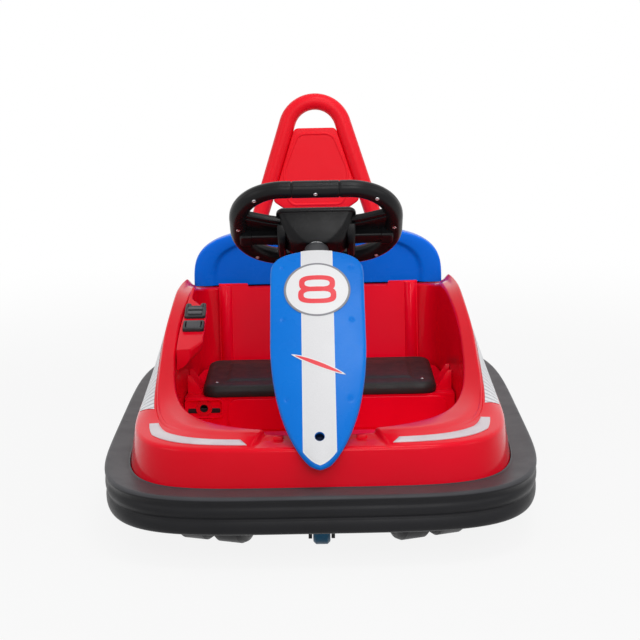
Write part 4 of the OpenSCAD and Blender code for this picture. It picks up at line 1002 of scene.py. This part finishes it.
def silvered(name):
    """Silver vinyl: pale ground, slanted hatch lines that fade with height, faint dot screen."""
    finish, place, feed = new_finish(name, Specular_IOR_Level=0.35)
    wave = place.axis(1) * 420 + place.axis(2) * 420
    lines = wave.math("SINE").step(0.35, 0.6) * (1 - place.axis(2).step(0.17, 0.23))
    ground = place.noise(1600, 1).step(0.4, 0.6).tint((0.70, 0.71, 0.73), (0.76, 0.77, 0.79))
    feed("Base Color", (lines * 0.7).tint(ground, (0.30, 0.30, 0.33)))
    feed("Roughness", place.noise(60, 4).step(0.3, 0.7) * 0.1 + 0.25)
    return finish


silver_vinyl = silvered("silver_vinyl")
for name, side in SIDES:
    piece(f"flash_{name}", [side_film(side)], silver_vinyl, "white_print", f"side_flash_{name}")


# Small fittings: two red nubs that locate the fairing's foot in the nose pocket, tapered blocks moulded on
# its floor, and the grained black pedal that is hinged to the footwell floor.

POCKET_Y, POCKET_Z = -355.0, 150.0


def nub(x):
    """A low tapered block on the floor of the nose pocket."""
    rows = [(16, 11, 0), (15, 10, 6), (14, 9, 7.2), (12, 7, 7.8)]
    return loft(rect_loops([(POCKET_Z + z, w, d, 2.5, x, POCKET_Y) for w, d, z in rows], 5))


piece("pocket_nubs", [nub(-58), nub(58)], gloss_red, "red_shell")
dress(grained_black, "pedal", ease=1.5)


# Studio: a pale floor, a soft key light in front, one overhead and one at each side, and the camera at the
# photograph's place. The floor and the far white show as they are to the camera and in reflections.

FLOOR_HALF, FLOOR_Z = 12.0, -0.0005        # metres, as are the lights' and the camera's places
FLOOR_LINES = 41


def floor_sheet():
    """One flat square sheet, a grid that is finer in the middle."""
    t = np.linspace(-1, 1, FLOOR_LINES)
    line = np.sign(t) * np.abs(t) ** 2 * FLOOR_HALF
    x, y = np.meshgrid(line, line, indexing="ij")
    index = np.arange(FLOOR_LINES**2).reshape(FLOOR_LINES, FLOOR_LINES)
    quads = np.stack([index[:-1, :-1], index[1:, :-1], index[1:, 1:], index[:-1, 1:]], -1).reshape(-1, 4)
    mesh = bpy.data.meshes.new("studio_floor")
    mesh.from_pydata(stacked(x, y, FLOOR_Z).reshape(-1, 3).tolist(), [], quads.tolist())
    return mesh


def seen(tree):
    """1 for rays from the camera, off gloss or through glass, 0 for the light that falls on things."""
    path = tree.nodes.new("ShaderNodeLightPath")
    eye, gloss, glass = (Wire(tree, path.outputs[f"Is {ray} Ray"]) for ray in ("Camera", "Glossy", "Transmission"))
    return eye.math("MAXIMUM", gloss).math("MAXIMUM", glass)


floor = placed("studio_floor", floor_sheet())
paper = bpy.data.materials.new("floor_paper")
paper.use_nodes = True
tree = paper.node_tree
tree.nodes.clear()
start = Wire(tree, tree.nodes.new("ShaderNodeTexCoord").outputs["Object"])
paper_grey = start.noise(3).step(0.3, 0.7).tint((0.52, 0.52, 0.52), (0.55, 0.55, 0.55))
sheet = start.node("ShaderNodeBsdfDiffuse", None, {"Color": paper_grey})
glow = start.node("ShaderNodeEmission", None, {"Color": (1, 1, 1, 1), "Strength": 1.0})
away = start.node("ShaderNodeVectorMath", {"operation": "LENGTH"}, {0: start}, 1).step(0.7, 2.2)
mixed = start.node("ShaderNodeMixShader", None, {0: seen(tree) * (away * 0.12 + 0.88), 1: sheet, 2: glow})
tree.links.new(mixed.socket, tree.nodes.new("ShaderNodeOutputMaterial").inputs["Surface"])
floor.data.materials.append(paper)

world = bpy.data.worlds.new("studio")
world.use_nodes = True
bpy.context.scene.world = world
background = next(n for n in world.node_tree.nodes if n.type == "BACKGROUND")
background.inputs["Color"].default_value = (1, 1, 1, 1)
world.node_tree.links.new((seen(world.node_tree) * 0.42 + 0.58).socket, background.inputs["Strength"])


def soft_light(name, place, aim, size, power):
    """A square area light that looks from its place at its aim."""
    lamp = bpy.data.lights.new(name, "AREA")
    lamp.size, lamp.energy = size, power
    made = placed(name, lamp)
    made.location = place
    x, y, z = np.subtract(aim, place)
    made.rotation_euler = (pi / 2 + atan2(z, hypot(x, y)), 0, atan2(y, x) - pi / 2)


soft_light("key", (0.5, -2.9, 1.9), (0, 0, 0.25), 1.3, 25)
soft_light("overhead", (0.4, -0.75, 2.5), (0, 0, 0.3), 0.8, 15)
soft_light("left_side", (-2.2, -1.3, 1.3), (0, 0, 0.25), 1.2, 6)
soft_light("right_side", (2.2, -1.2, 1.4), (0, 0, 0.25), 1.2, 6)

camera = placed("camera", bpy.data.cameras.new("camera"))
camera.data.lens, camera.data.sensor_width = 90, 36
camera.location = (0.0081, -2.497, 0.772)
camera.rotation_euler = (1.3632, 0.0197, -0.0020)
bpy.context.scene.camera = camera
bpy.context.scene.view_settings.view_transform = "Standard"
